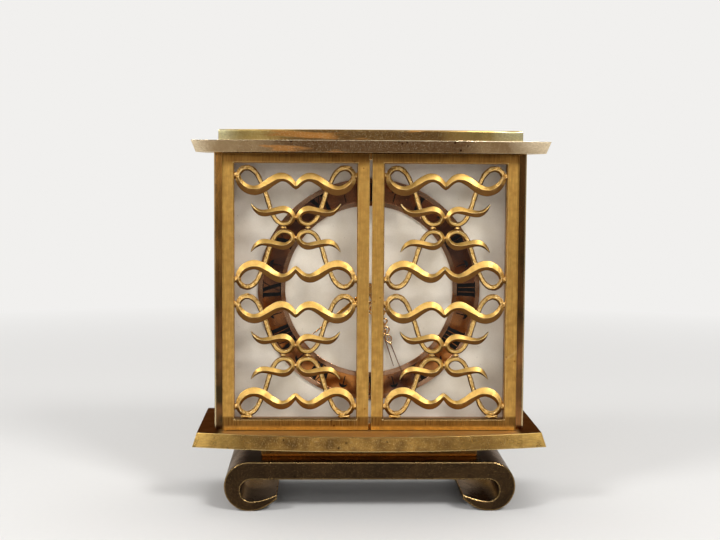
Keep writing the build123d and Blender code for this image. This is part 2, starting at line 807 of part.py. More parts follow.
def intermediate_wheel():
    x, z = train_x, train_z
    wheel_back = train_level + wheel_thickness
    wheel_phase = train_direction + 180 + 180 / train_wheel_teeth
    pinion_front = barrel_level - free_gap
    pinion_back = barrel_level + wheel_thickness + free_gap
    wheel = toothed(x, z, train_level, wheel_back, train_wheel_teeth, train_module, wheel_phase)
    wheel += toothed(x, z, pinion_front, pinion_back, train_pinion_teeth, barrel_module, barrel_direction)
    wheel += rod_y(x, z, front_plate_back + free_gap, back_plate_front - free_gap, arbor_radius)
    wheel += rod_y(x, z, front_plate_front + free_gap, back_plate_back - free_gap, pivot_radius)
    return wheel


def going_barrel():
    phase = barrel_direction + 180 + 180 / train_wheel_teeth
    rim_back = barrel_level + wheel_thickness
    drum_back = barrel_level + barrel_drum_length
    drum = rod_y(barrel_x, barrel_z, barrel_level, drum_back, barrel_drum_radius)
    drum += toothed(barrel_x, barrel_z, barrel_level, rim_back, train_wheel_teeth, barrel_module, phase)
    return drum - rod_y(barrel_x, barrel_z, barrel_level, drum_back, barrel_arbor_radius + running_fit)


def winding_arbor(x, z, collar_front, collar_back):
    arbor = rod_y(x, z, front_plate_front + free_gap, arbor_end, barrel_arbor_radius)
    return arbor + rod_y(x, z, collar_front, collar_back, barrel_arbor_radius + barrel_collar_width)


def winding_key(x, z):
    round_radius = key_width / 2
    round_x = key_reach - round_radius
    wing_front = control_front + key_wing_rise
    key = rod_y(x, z, control_front, control_back, key_hub_radius)
    low = (x - round_x, wing_front, z - round_radius)
    key += box_between(low, (x + round_x, control_back, z + round_radius))
    for side in (-1, 1):
        key += rod_y(x + side * round_x, z, wing_front, control_back, round_radius)
    return key - rod_y(x, z, control_front, arbor_end, barrel_arbor_radius + fixed_fit)


def movement_disc(front, back, pivots):
    disc = rod_y(0, dial_z, front, back, plate_disc_radius)
    for x, z, radius in arbor_places:
        disc -= rod_y(x, z, front, back, radius + running_fit)
    for x, z in pivots:
        disc -= rod_y(x, z, front, back, pivot_radius + running_fit)
    return disc


balance_y = back_plate_front - balance_back_space
balance_level = dial_z + balance_z
cock_front = balance_y - cock_rise
cock_x = balance_x + balance_radius + cock_post_radius + cock_post_gap


def escapement_platform():
    z = balance_level
    disc_front = back_plate_front - platform_thickness
    platform = rod_y(balance_x, z, disc_front, back_plate_front, balance_radius + platform_overlap)
    platform += rod_y(cock_x, z, cock_front, back_plate_front, cock_post_radius)
    low = (balance_x - cock_post_radius, cock_front, z - cock_post_radius)
    platform += box_between(low, (cock_x, cock_front + cock_thickness, z + cock_post_radius))
    return platform - rod_y(balance_x, z, cock_front, back_plate_front, pivot_radius + running_fit)


def balance_wheel():
    z = balance_level
    rim_back = balance_y + wheel_thickness
    arm_reach = balance_radius - balance_rim_width / 2
    half_arm = balance_arm_width / 2
    wheel = rod_y(balance_x, z, balance_y, rim_back, balance_radius)
    wheel -= rod_y(balance_x, z, balance_y, rim_back, balance_radius - balance_rim_width)
    low = (balance_x - arm_reach, balance_y, z - half_arm)
    wheel += box_between(low, (balance_x + arm_reach, rim_back, z + half_arm))
    return wheel + rod_y(balance_x, z, cock_front + free_gap, back_plate_front - free_gap, pivot_radius)


hammer_pivot = (hammer_x, dial_z + hammer_z)


def hammer_head_place(swing):
    lean = radians(hammer_lean + swing)
    return (hammer_pivot[0] + hammer_reach * sin(lean), hammer_pivot[1] + hammer_reach * cos(lean))


def alarm_hammer():
    x, z = hammer_pivot
    middle = (front_plate_back + back_plate_front) / 2
    head_x, head_z = hammer_head_place(0)
    hammer = rod_y(x, z, front_plate_back + free_gap, back_plate_front - free_gap, arbor_radius)
    hammer += rod_y(x, z, front_plate_front + free_gap, back_plate_back - free_gap, pivot_radius)
    half_head = hammer_head_length / 2
    hammer += rod_y(head_x, head_z, middle - half_head, middle + half_head, hammer_head_radius)
    low = (x - hammer_arm_width / 2, middle - hammer_arm_thickness / 2, z)
    arm = box_between(low, (x + hammer_arm_width / 2, middle + hammer_arm_thickness / 2, z + hammer_reach))
    return hammer + arm.rotate(Axis((x, 0, z), (0, 1, 0)), hammer_lean)


def strike_post():
    x, z = hammer_head_place(hammer_swing)
    lean = radians(hammer_lean + hammer_swing)
    distance = hammer_head_radius + free_gap + pillar_radius
    post_x = x + distance * cos(lean)
    post_z = z - distance * sin(lean)
    return rod_y(post_x, post_z, front_plate_back, back_plate_front, pillar_radius)


def alarm_stop_button():
    stem_front = back_plate_back + stop_button_travel + free_gap
    cap_front = cover_back + stop_button_travel + free_gap
    button = rod_y(0, stop_z, stem_front, cap_front, stop_button_radius)
    return button + rod_y(0, stop_z, cap_front, cap_front + stop_button_cap_height, stop_button_cap_radius)


save("scroll_stand", scroll_stand())
save("spacer_plinth", spacer_plinth())
save("base_plate", base_plate())
save("top_plate", top_plate())
save("top_slab", top_slab())
stand_seat = stand_height - stand_bar + counterbore_depth
stand_grip = base_bottom + rod_socket - stand_seat
save("stand_screws", group([headed_screw(x, y, stand_seat, 1, stand_grip) for x, y in screw_places]))
slab_seat = case_top + counterbore_depth
slab_grip = top_plate_top + rod_socket - slab_seat
save("slab_screws", group([headed_screw(x, y, slab_seat, 1, slab_grip) for x, y in screw_places]))
rod_bottom = base_bottom + counterbore_depth - nut_height
rod_top = case_top + rod_socket
save("tie_rods", group([rod_z(x, y, rod_bottom, rod_top, tie_rod_radius) for x, y in tie_rod_places]))
save("tie_rod_nuts", group([tie_nut(x, y) for x, y in tie_rod_places]))
save("case_side_left", case_side(-1))
save("case_side_right", case_side(1))
save("case_front_frame", case_front_frame())
save("dial_surround", dial_surround())
save("rear_panel", rear_panel())
save("rear_cover", rear_cover())
cover_grip = rear_cover_thickness + rear_panel_thickness - small_screw_end_gap
save("rear_cover_screws", group([small_screw(x, z, cover_back, cover_grip) for x, z in cover_screw_places]))
panel_grip = rear_panel_thickness + panel_screw_in_rod
save("rear_panel_screws", group([small_screw(x, z, panel_back, panel_grip) for x, z in dial_rod_places]))
save("dial_rods", group([dial_rod(x, z) for x, z in dial_rod_places]))
save("dial_plate", dial_plate())
save("chapter_ring", chapter_ring())

left_frame = door_frame()
left_pins = hinge_pins()
left_scrolls = [Pos(opening_x, 0, z) * piece for z in cell_centres for piece in scroll_cell()]
save("left_door_frame", left_frame)
save("left_hinge_pins", group(left_pins))
save("left_scrollwork", group(left_scrolls))
save("right_door_frame", flip(left_frame))
save("right_hinge_pins", group([flip(pin) for pin in left_pins]))
save("right_scrollwork", group([flip(piece) for piece in left_scrolls]))

minute_bore = arbor_radius + fixed_fit
hour_bore = pipe_radius + fixed_fit
alarm_bore = alarm_pipe_radius + fixed_fit
save("minute_hand", pierced_hand(minute_hand_length, minute_hand_angle, minute_hand_front, minute_bore))
save("hour_hand", pierced_hand(hour_hand_length, hour_hand_angle, hour_hand_front, hour_bore))
save("alarm_hand", baton_hand(alarm_hand_length, alarm_hand_angle, alarm_hand_front, alarm_bore))
nut_front = minute_hand_front - hand_nut_height
hand_nut = rod_y(0, dial_z, nut_front, minute_hand_front, hand_nut_radius)
save("hand_nut", hand_nut - rod_y(0, dial_z, arbor_tip, minute_hand_front, minute_bore))
save("centre_arbor", centre_arbor())
save("hour_wheel", hour_wheel())
save("minute_wheel", minute_wheel())
save("minute_wheel_post", minute_wheel_post())
save("alarm_wheel", alarm_wheel())
save("hand_setting_knob", fluted_knob(0, dial_z, setting_knob_radius))
save("alarm_setting_arbor", alarm_setting_arbor())
save("alarm_setting_knob", fluted_knob(alarm_x, alarm_z, alarm_knob_radius))

save("movement_front_plate", movement_disc(front_plate_front, front_plate_back, pivot_places))
save("movement_back_plate", movement_disc(back_plate_front, back_plate_back, pivot_places))
pillars = [rod_y(x, z, front_plate_back, back_plate_front, pillar_radius) for x, z in pillar_places]
save("movement_pillars", group(pillars))
feet = [rod_y(x, z, dial_back, front_plate_front, dial_foot_radius) for x, z in dial_foot_places]
save("dial_feet", group(feet))
save("intermediate_wheel", intermediate_wheel())
save("going_barrel", going_barrel())
save("winding_arbor", winding_arbor(barrel_x, barrel_z, front_plate_back + free_gap, barrel_level - free_gap))
save("winding_key", winding_key(barrel_x, barrel_z))
alarm_barrel_place = dial_z + alarm_barrel_z
alarm_drum_back = front_plate_back + alarm_barrel_length
alarm_drum = rod_y(alarm_barrel_x, alarm_barrel_place, front_plate_back, alarm_drum_back, barrel_drum_radius)
drum_bore = barrel_arbor_radius + running_fit
alarm_drum -= rod_y(alarm_barrel_x, alarm_barrel_place, front_plate_back, alarm_drum_back, drum_bore)
save("alarm_barrel", alarm_drum)
alarm_collar = (alarm_drum_back + free_gap, back_plate_front - free_gap)
save("alarm_winding_arbor", winding_arbor(alarm_barrel_x, alarm_barrel_place, *alarm_collar))
save("alarm_winding_key", winding_key(alarm_barrel_x, alarm_barrel_place))
save("escapement_platform", escapement_platform())
save("balance_wheel", balance_wheel())
save("alarm_hammer", alarm_hammer())
save("strike_post", strike_post())
save("alarm_stop_button", alarm_stop_button())
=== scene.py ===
# Brass table clock with two pierced doors, dressed in Blender
import bpy
import bmesh
import json
import math
from mathutils import Matrix, Vector


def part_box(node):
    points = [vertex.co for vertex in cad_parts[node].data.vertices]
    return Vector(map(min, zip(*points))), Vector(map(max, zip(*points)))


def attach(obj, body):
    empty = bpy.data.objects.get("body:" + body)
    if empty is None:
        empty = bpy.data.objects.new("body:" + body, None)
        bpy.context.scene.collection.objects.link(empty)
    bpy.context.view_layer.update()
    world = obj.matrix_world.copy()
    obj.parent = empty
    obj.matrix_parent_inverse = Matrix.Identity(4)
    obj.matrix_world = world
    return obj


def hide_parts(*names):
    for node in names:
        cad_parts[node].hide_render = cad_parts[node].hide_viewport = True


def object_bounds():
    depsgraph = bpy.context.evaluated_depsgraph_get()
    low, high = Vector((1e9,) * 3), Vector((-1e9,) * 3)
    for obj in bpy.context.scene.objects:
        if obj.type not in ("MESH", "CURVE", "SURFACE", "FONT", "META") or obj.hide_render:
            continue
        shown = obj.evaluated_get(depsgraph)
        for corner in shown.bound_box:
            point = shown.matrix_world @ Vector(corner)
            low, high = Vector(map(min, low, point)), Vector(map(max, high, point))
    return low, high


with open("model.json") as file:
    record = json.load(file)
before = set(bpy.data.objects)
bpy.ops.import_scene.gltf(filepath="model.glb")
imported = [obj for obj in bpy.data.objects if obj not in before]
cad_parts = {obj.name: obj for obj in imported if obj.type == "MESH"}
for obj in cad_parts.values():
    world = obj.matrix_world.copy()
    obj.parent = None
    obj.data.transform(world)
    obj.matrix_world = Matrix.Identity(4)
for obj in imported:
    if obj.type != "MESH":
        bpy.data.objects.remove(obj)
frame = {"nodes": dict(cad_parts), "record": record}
cadLow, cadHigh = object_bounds()
print("frame loaded:", len(frame["nodes"]), "nodes")

mm = 0.001
scene = bpy.context.scene
scene.view_settings.view_transform = "Standard"


# Camera
cameraPlace = {
    "lens": 66.1, "sensor": 36,
    "position": (-0.0250, -0.6905, 0.1747),
    "turn": 0.0294,  # radians towards +X
    "dip": 0.080,  # radians down
    "tilt": 0.0059,  # radians round the line of sight
}


def makeCamera():
    turn, dip, tilt = (cameraPlace[key] for key in ("turn", "dip", "tilt"))
    forward = Vector((math.sin(turn) * math.cos(dip), math.cos(turn) * math.cos(dip), -math.sin(dip)))
    side = Vector((math.cos(turn), -math.sin(turn), 0))
    up = side.cross(forward)
    right = side * math.cos(tilt) + up * math.sin(tilt)
    top = up * math.cos(tilt) - side * math.sin(tilt)
    camera = bpy.data.objects.new("camera", bpy.data.cameras.new("camera"))
    camera.data.sensor_width = cameraPlace["sensor"]
    camera.data.lens = cameraPlace["lens"]
    camera.data.clip_start = 0.01
    scene.collection.objects.link(camera)
    axes = Matrix((right, top, -forward)).transposed().to_4x4()
    camera.matrix_world = Matrix.Translation(cameraPlace["position"]) @ axes
    scene.camera = camera


makeCamera()


# Shader helpers
def fillSockets(tree, node, sockets):
    for name, value in sockets.items():
        if isinstance(value, bpy.types.NodeSocket):
            tree.links.new(value, node.inputs[name])
        else:
            node.inputs[name].default_value = value


def addNode(tree, kind, sockets=None, **settings):
    node = tree.nodes.new("ShaderNode" + kind)
    for name, value in settings.items():
        setattr(node, name, value)
    fillSockets(tree, node, sockets or {})
    return node


def calc(tree, operation, first, second=0.0):
    node = addNode(tree, "Math", {0: first, 1: second}, operation=operation)
    node.use_clamp = operation in ("MULTIPLY", "SUBTRACT")
    return node.outputs[0]


def product(tree, first, second):
    return calc(tree, "MULTIPLY", first, second)


def larger(tree, first, second):
    return calc(tree, "MAXIMUM", first, second)


def axisOf(tree, vector, axis):
    return addNode(tree, "SeparateXYZ", {0: vector}).outputs[axis]


def vectorMath(tree, operation, first, second=(0.0, 0.0, 0.0)):
    return addNode(tree, "VectorMath", {0: first, 1: second}, operation=operation).outputs


def remap(tree, value, fromLow, fromHigh, toLow=0.0, toHigh=1.0):
    ends = {"From Min": fromLow, "From Max": fromHigh, "To Min": toLow, "To Max": toHigh}
    return addNode(tree, "MapRange", {"Value": value, **ends}).outputs[0]


midNoise = (0.3, 0.7)  # most of a noise lies between these


# Moves a coordinate to and fro with a noise, by up to a reach in metres
def sway(tree, value, swing, reach):
    return calc(tree, "ADD", value, remap(tree, swing, *midNoise, -reach, reach))


def blend(tree, share, first, second, mode="MIX"):
    sockets = {0: share, 6: first, 7: second}
    return addNode(tree, "Mix", sockets, data_type="RGBA", blend_type=mode).outputs[2]


def noise(tree, place, scale, detail=4.0, stretch=None):
    if stretch:
        place = addNode(tree, "Mapping", {"Vector": place, "Scale": stretch}).outputs[0]
    return addNode(tree, "TexNoise", {"Vector": place, "Scale": scale, "Detail": detail}).outputs[0]


def colour(red, green, blue):
    return (red, green, blue, 1.0)


def startMaterial(name):
    material = bpy.data.materials.new(name)
    material.use_nodes = True
    tree = material.node_tree
    shader = tree.nodes["Principled BSDF"]
    place = addNode(tree, "TexCoord").outputs["Object"]
    return material, tree, shader, place


# Metal finishes
# "tints" are the polished, tarnished and rubbed colours; the rubbed colour is also used as a painted
# highlight. A finish then gives what differs from plainMetal, and marks that lie at a place on its pieces,
# many of them painted reflections and shade. Where a mask has four numbers, it starts at the first, is full
# at the second, and goes from the third strength to the fourth.
plainMetal = {
    "patches": (60, 0.38, 0.72),  # noise scale, and where tarnish starts and is full
    "brush": ((1, 1, 1), 1500, 0.35),  # stretch, noise scale and share of the brushed grain
    "roughness": (0.22, 0.34), "grain": 0.10, "scratches": 0.0, "spots": 0.5,
    "edge": 0.50,  # millimetres beside an edge that are rubbed bright, partly wear and partly a painted highlight
    "down": 0.0,  # how much painted shade darkens faces that look down
}
metalFinishes = {
    "satinBrass": {
        "tints": ((0.76, 0.440, 0.108), (0.38, 0.190, 0.044), (1.0, 0.76, 0.36)),
        "patches": (260, 0.30, 0.76), "brush": ((1, 1, 0.08), 1200, 0.65), "roughness": (0.30, 0.44),
        "grain": 0.20, "scratches": 0.30, "spots": 0.8, "edge": 0.40, "down": 0.25,
        "rails": (40.3, 46.2, 173.0),  # millimetres: painted shade, browner between the first two, and above the third
        "railTint": colour(0.140, 0.056, 0.012), "lowRailTint": colour(0.040, 0.016, 0.004),
    },
    "giltBrass": {
        "tints": ((0.72, 0.445, 0.130), (0.44, 0.255, 0.062), (1.0, 0.88, 0.52)),
        "patches": (180, 0.42, 0.72), "roughness": (0.38, 0.50),
        "grain": 0.20, "scratches": 0.10, "spots": 0.4, "edge": 0.34, "down": 0.92,
        "walls": 0.90, "wallTint": colour(0.060, 0.028, 0.008),  # painted shade on upright sides
        # the next colour is painted shade for faces that look down and for the cast loops' pits
        "dirt": colour(0.125, 0.050, 0.014), "castTint": colour(0.63, 0.335, 0.062),
    },
    "handGilt": {
        "tints": ((0.86, 0.56, 0.24), (0.42, 0.22, 0.085), (1.0, 0.92, 0.68)),
        "patches": (420, 0.45, 0.70), "brush": ((1, 1, 1), 2400, 0.30), "roughness": (0.14, 0.24),
        "spots": 0.3, "edge": 0.12,
    },
    "orangeBrass": {
        "tints": ((0.50, 0.235, 0.045), (0.27, 0.115, 0.022), (0.95, 0.55, 0.16)),
        "brush": ((0.2, 1, 1), 1400, 0.35), "roughness": (0.20, 0.34),
        "grain": 0.06, "scratches": 0.4, "edge": 0.45,
    },
    "plinthBrass": {
        "tints": ((0.60, 0.255, 0.045), (0.36, 0.14, 0.025), (0.95, 0.55, 0.16)),
        "brush": ((0.2, 1, 1), 1400, 0.35), "roughness": (0.20, 0.34),
        "grain": 0.06, "scratches": 0.3, "edge": 0.45,
        "bands": ((25.2, 25.5), (26.4, 26.7)),  # millimetres: painted shade below and above these, either side of a bright reflected line
        "bandTint": colour(0.050, 0.036, 0.014),
    },
    "plateBrass": {
        "tints": ((0.33, 0.225, 0.115), (0.19, 0.112, 0.050), (1.0, 0.86, 0.58)),
        "patches": (42, 0.40, 0.74), "brush": ((0.5, 1, 1), 1500, 0.40), "scratches": 0.12, "spots": 0.9,
        # painted reflections on the front: pale ends, a brown middle and warm streaks
        "zones": (0.092, 0.074, 0.058, 0.040), "endTint": colour(0.92, 0.76, 0.52), "speckle": 0.22,
        "streakFrom": (0.31, 0.0, 0.0), "warmPatch": (-0.043, 0.011, 0.1806, 0.1838),
    },
    "slabBrass": {
        "tints": ((0.50, 0.355, 0.115), (0.24, 0.140, 0.038), (1.0, 0.90, 0.52)),
        "patches": (50, 0.40, 0.72), "brush": ((0.5, 1, 1), 1500, 0.35), "roughness": (0.28, 0.40),
        "grain": 0.05, "scratches": 0.1, "spots": 0.8,
        # painted reflections on the front: pale ends, a brown middle and warm streaks
        "zones": (0.073, 0.058, 0.052, 0.036), "endTint": colour(1.0, 0.92, 0.52), "speckle": 0.22,
        "streakFrom": (0.52, 0.0, 0.0), "warmPatch": (-0.034, 0.016, 0.1876, 0.1912),
    },
    "agedBrass": {
        "tints": ((0.160, 0.086, 0.020), (0.056, 0.028, 0.008), (0.95, 0.72, 0.32)),
        "patches": (120, 0.38, 0.70), "brush": ((0.3, 1, 1), 1100, 0.45), "roughness": (0.24, 0.36),
        "grain": 0.12, "spots": 0.8, "edge": 0.60, "down": 0.10,
        # painted reflection of the doors on the top face, dark at the sides, and painted reflections at the
        # front's ends
        "top": colour(0.78, 0.54, 0.220), "topSides": colour(0.045, 0.020, 0.008),
        "zones": (0.092, 0.060, 0.0, -1.0), "endTint": colour(0.40, 0.245, 0.062), "speckle": 0.16,
        "streakFrom": (0.0, 0.0, 0.0),
    },
    "backBrass": {
        "tints": ((0.26, 0.165, 0.044), (0.115, 0.068, 0.019), (0.95, 0.72, 0.32)),
        "patches": (36, 0.36, 0.76), "brush": ((0.3, 1, 1), 1200, 0.40), "roughness": (0.26, 0.38),
        "scratches": 0.2, "spots": 0.7, "down": 0.10,
    },
    "darkBrass": {
        "tints": ((0.34, 0.205, 0.064), (0.20, 0.112, 0.036), (1.0, 0.78, 0.40)),
        "patches": (34, 0.36, 0.72), "brush": ((1, 1, 0.06), 1300, 0.45), "roughness": (0.10, 0.20),
        "grain": 0.04, "scratches": 0.35, "spots": 0.6,
    },
    "stripBrass": {
        "tints": ((0.30, 0.128, 0.042), (0.050, 0.030, 0.012), (1.0, 0.84, 0.50)),
        "patches": (60, 0.40, 0.66), "brush": ((1, 1, 0.06), 1300, 0.45), "roughness": (0.12, 0.24),
        "grain": 0.04, "spots": 0.8, "edge": 0.60,
        "upper": (0.100, 0.150), "upperTint": colour(1.0, 0.47, 0.11),  # painted sheen, brighter towards the top
        "upperShares": (0.9, 0.12),  # how much so, and what is left of it on the right
        "outerLine": (0.0785, 0.0788, 0.0, 0.5),  # painted highlight along the outer corner
    },
    "bronzeBrown": {
        "tints": ((0.056, 0.031, 0.013), (0.020, 0.012, 0.007), (1.0, 0.66, 0.27)),
        "patches": (75, 0.35, 0.72), "brush": ((0.6, 1, 1), 1000, 0.45), "roughness": (0.22, 0.36),
        "grain": 0.16, "edge": 0.60, "specks": 0.20,
    },
    "copperBrown": {
        "tints": ((0.34, 0.15, 0.075), (0.14, 0.062, 0.044), (0.74, 0.44, 0.26)),
        "patches": (38, 0.35, 0.70), "brush": ((1, 1, 1), 1700, 0.35), "roughness": (0.14, 0.26),
        "grain": 0.03, "scratches": 0.25, "spots": 0.3, "edge": 0.30,
    },
    "ringCopper": {
        "tints": ((0.42, 0.160, 0.066), (0.125, 0.062, 0.043), (0.74, 0.44, 0.26)),
        "patches": (42, 0.42, 0.56), "brush": ((1, 1, 1), 1700, 0.35), "roughness": (0.16, 0.28),
        "grain": 0.03, "spots": 0.3, "edge": 0.25,
        "rims": (46.0, 55.6), "rimBlur": 0.12, "rimTint": colour(0.44, 0.25, 0.145),  # in millimetres
        "lowFrom": (10, -42), "lowShare": 0.85,  # millimetres from the ring's middle: a painted warm reflection low down
        "lowPatches": (0.64, 0.50), "lowTint": colour(0.62, 0.235, 0.050),
    },
    "movementBrass": {
        "tints": ((0.76, 0.58, 0.27), (0.52, 0.36, 0.14), (0.95, 0.82, 0.52)),
        "patches": (60, 0.4, 0.8), "brush": ((1, 0.1, 1), 1800, 0.35), "roughness": (0.24, 0.36),
        "grain": 0.05, "scratches": 0.2, "spots": 0.1, "edge": 0.20,
    },
    "polishedSteel": {
        "tints": ((0.50, 0.48, 0.45), (0.34, 0.32, 0.30), (0.72, 0.70, 0.67)),
        "patches": (120, 0.4, 0.8), "brush": ((1, 1, 0.1), 1900, 0.35), "roughness": (0.30, 0.44),
        "grain": 0.03, "scratches": 0.3, "spots": 0.2, "edge": 0.20,
    },
}
# Scratches, spots and cast pits, and the painted highlights, shade and reflections of all metals
wearAndPaintedLight = {
    "scratchScale": 60,  # scratches per metre, before they are stretched
    "scratchStretch": (1.0, 1.0, 0.10),
    "scratchTurns": ((0.3, 0.5, 0.2), (1.2, -0.4, 0.9)),  # two directions, in radians
    "scratchWidth": 0.006,
    "scratchBreak": (46, 0.55, 0.66),  # noise scale, and where scratches start and are full
    "scratchTint": 0.5, "scratchDepth": 0.2,
    "spotScale": 260, "spotShare": 0.11,  # share of a cell that a spot may cover
    "spotFade": 0.08, "spotChoice": (90, 0.58, 0.66), "spotDepth": 0.5, "spotRough": 0.3,
    "bump": {"Distance": 0.00015, "Strength": 0.6}, "bumpBase": 0.6,
    "castScale": 860, "castPits": (0.38, 0.62), "castCover": 0.88, "castRough": 0.34,
    "castSunk": (0.25, 0.0, 0.0, 0.5), "castBump": 2.2,
    "speckleScale": 2200, "speckleAt": (0.56, 0.68), "specksAt": (0.60, 0.70),
    "rubbedEdge": (0.985, 0.90, 0.0, 0.85),  # turn of the rounded normal, and the share rubbed bright, partly wear and partly painted highlight
    "under": (-0.02, -0.24),  # how far a face looks down where painted shade starts and is full
    "wallFacing": (0.40, 0.15), "castWalls": (0.2, 0.8, 1.0, 0.25), "roughFrom": (0.3, 0.75),
    # where the base plate's painted top reflection turns dark at the sides, and which faces count as its
    # top
    "topSidesFrom": (0.0745, 0.0775), "topFacing": (0.90, 0.98, 0.0, 0.88), "topRough": 0.22,
    "grazing": {  # how warm a metal stays when seen along its surface
        "giltBrass": colour(0.90, 0.66, 0.36), "agedBrass": colour(0.50, 0.34, 0.16),
        "bronzeBrown": colour(0.60, 0.48, 0.38), "other": colour(0.92, 0.80, 0.62),
    },
    "dirtShare": 0.24,  # how dark painted shade is beside the tarnish
}
# Painted reflections on the plates, and painted shade on the plinth and the door rails
paintedLightZones = {
    "ragged": 0.008,  # metres by which a zone's end wanders
    "edgeFacing": (0.45, 0.75, 1.0, 0.10),  # the zones fade on faces that look up
    "brown": colour(0.078, 0.035, 0.013), "brownShare": 0.95,
    "streak": colour(0.42, 0.175, 0.042), "streakScale": 26, "streakStretch": (1.0, 3.0, 7.0),
    "streakAt": (0.57, 0.63, 0.0, 0.9),
    "patchSway": (0.016, 0.0008), "patchFull": 0.45, "patchSoft": 0.0006,
    "bandShares": (0.85, 0.95),
    "railSoft": (1.2, 1.0, 3.0), "railNoise": (90, 0.38, 0.6),  # millimetres over which each end fades
    "railShares": (0.80, 1.0), "lowRailShares": (0.25, 0.60),
}
ringLow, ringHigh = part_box("chapter_ring")
dialCentre = (ringLow + ringHigh) / 2


# Fine bright specks, as the plates and the stand have them
def speckles(tree, place, limits, strength):
    return remap(tree, noise(tree, place, wearAndPaintedLight["speckleScale"], 2.0), *limits, 0.0, strength)


# A plate's painted reflections, pale ends and a brown middle with warm streaks, on every face but the one
# on top.
# "zones" gives how far from the middle the ends are quite pale, start, and the brown starts and is full.
# "warmPatch" gives the middle, half width and height limits of a place that is all streak.
def plateReflections(tree, place, patches, tint, look):
    x, y, z = addNode(tree, "SeparateXYZ", {0: place}).outputs
    ragged = sway(tree, calc(tree, "ABSOLUTE", x), patches, paintedLightZones["ragged"])
    pale, endsStart, brownStart, brown = look["zones"]
    facesUp = axisOf(tree, addNode(tree, "NewGeometry").outputs["Normal"], 2)
    onEdge = remap(tree, facesUp, *paintedLightZones["edgeFacing"])
    ends = product(tree, remap(tree, ragged, endsStart, pale), onEdge)
    middle = product(tree, remap(tree, ragged, brownStart, brown, 0.0, paintedLightZones["brownShare"]), onEdge)
    shifted = vectorMath(tree, "ADD", place, look["streakFrom"])[0]
    streaks = noise(tree, shifted, paintedLightZones["streakScale"], 3.0, paintedLightZones["streakStretch"])
    streak = remap(tree, streaks, *paintedLightZones["streakAt"])
    if "warmPatch" in look:
        centre, half, lowest, highest = look["warmPatch"]
        swayX, swayZ = paintedLightZones["patchSway"]
        beside = calc(tree, "ABSOLUTE", calc(tree, "ADD", sway(tree, x, streaks, swayX), -centre))
        across = remap(tree, beside, half, half * paintedLightZones["patchFull"], 0.0, paintedLightZones["brownShare"])
        height, soft = sway(tree, z, patches, swayZ), paintedLightZones["patchSoft"]
        fromBelow = remap(tree, height, lowest, lowest + soft)
        fromAbove = remap(tree, height, highest, highest - soft)
        warm = product(tree, across, product(tree, fromBelow, fromAbove))
        streak = larger(tree, streak, warm)
        middle = larger(tree, middle, warm)
    tint = blend(tree, ends, tint, look["endTint"])
    tint = blend(tree, middle, tint, blend(tree, streak, paintedLightZones["brown"], paintedLightZones["streak"]))
    speckle = speckles(tree, place, wearAndPaintedLight["speckleAt"], look["speckle"])
    return blend(tree, product(tree, speckle, onEdge), tint, look["rubbed"])


# The chapter ring's lighter rims, and a painted warm reflection on its lower half
def ringRims(tree, place, patches, tint, look):
    middle = (dialCentre[0], 0.0, dialCentre[2])
    away = vectorMath(tree, "SUBTRACT", place, middle)[0]
    flat = vectorMath(tree, "MULTIPLY", away, (1.0, 0.0, 1.0))[0]
    radius = vectorMath(tree, "LENGTH", flat)["Value"]
    start, full = (height * mm for height in look["lowFrom"])
    low = remap(tree, axisOf(tree, away, 2), start, full, 0.0, look["lowShare"])
    low = product(tree, low, remap(tree, patches, *look["lowPatches"]))
    tint = blend(tree, low, tint, look["lowTint"])
    inner, outer, blur = (size * mm for size in (*look["rims"], look["rimBlur"]))
    inside = remap(tree, radius, inner, inner - blur)
    outside = remap(tree, radius, outer, outer + blur)
    return blend(tree, larger(tree, inside, outside), tint, look["rimTint"])


# Painted shade on a door's two rails, darker still on the lower one
def railShade(tree, place, height, tint, look):
    clean, low, high = (limit * mm for limit in look["rails"])
    cleanSoft, lowSoft, highSoft = (soft * mm for soft in paintedLightZones["railSoft"])
    lowRail = product(
        tree, remap(tree, height, low, low - lowSoft), remap(tree, height, clean, clean + cleanSoft),
    )
    bothRails = larger(tree, lowRail, remap(tree, height, high, high + highSoft))
    scale, start, full = paintedLightZones["railNoise"]
    stained = noise(tree, place, scale, 6.0)
    for rail, key in ((bothRails, "rail"), (lowRail, "lowRail")):
        share = remap(tree, stained, start, full, *paintedLightZones[key + "Shares"])
        tint = blend(tree, product(tree, rail, share), tint, look[key + "Tint"])
    return tint


# All marks that lie at a place on a piece, most of them painted reflections, painted shade and painted
# highlights
def placedMarks(tree, place, patches, tint, look):
    x, y, height = addNode(tree, "SeparateXYZ", {0: place}).outputs
    if "zones" in look:
        tint = plateReflections(tree, place, patches, tint, look)
    if "rims" in look:
        tint = ringRims(tree, place, patches, tint, look)
    # painted shade above and below a bright reflected line on the plinth
    if "bands" in look:
        (below, start), (end, above) = look["bands"]
        lowShare, highShare = paintedLightZones["bandShares"]
        low = remap(tree, height, start * mm, below * mm, 0.0, lowShare)
        high = remap(tree, height, end * mm, above * mm, 0.0, highShare)
        tint = blend(tree, larger(tree, low, high), tint, look["bandTint"])
    if "rails" in look:
        tint = railShade(tree, place, height, tint, look)
    # a painted sheen towards the top of the strip, mostly on the left
    if "upper" in look:
        full, onRight = look["upperShares"]
        upper = remap(tree, height, *look["upper"], 0.0, full)
        upper = product(tree, upper, remap(tree, x, 0.0, 0.001, 1.0, onRight))
        tint = blend(tree, upper, tint, look["upperTint"])
    if "specks" in look:
        tint = blend(tree, speckles(tree, place, wearAndPaintedLight["specksAt"], look["specks"]), tint, look["rubbed"])
    # a painted highlight along the strip's outer corner
    if "outerLine" in look:
        line = remap(tree, calc(tree, "ABSOLUTE", x), *look["outerLine"])
        tint = blend(tree, line, tint, look["rubbed"])
    return tint


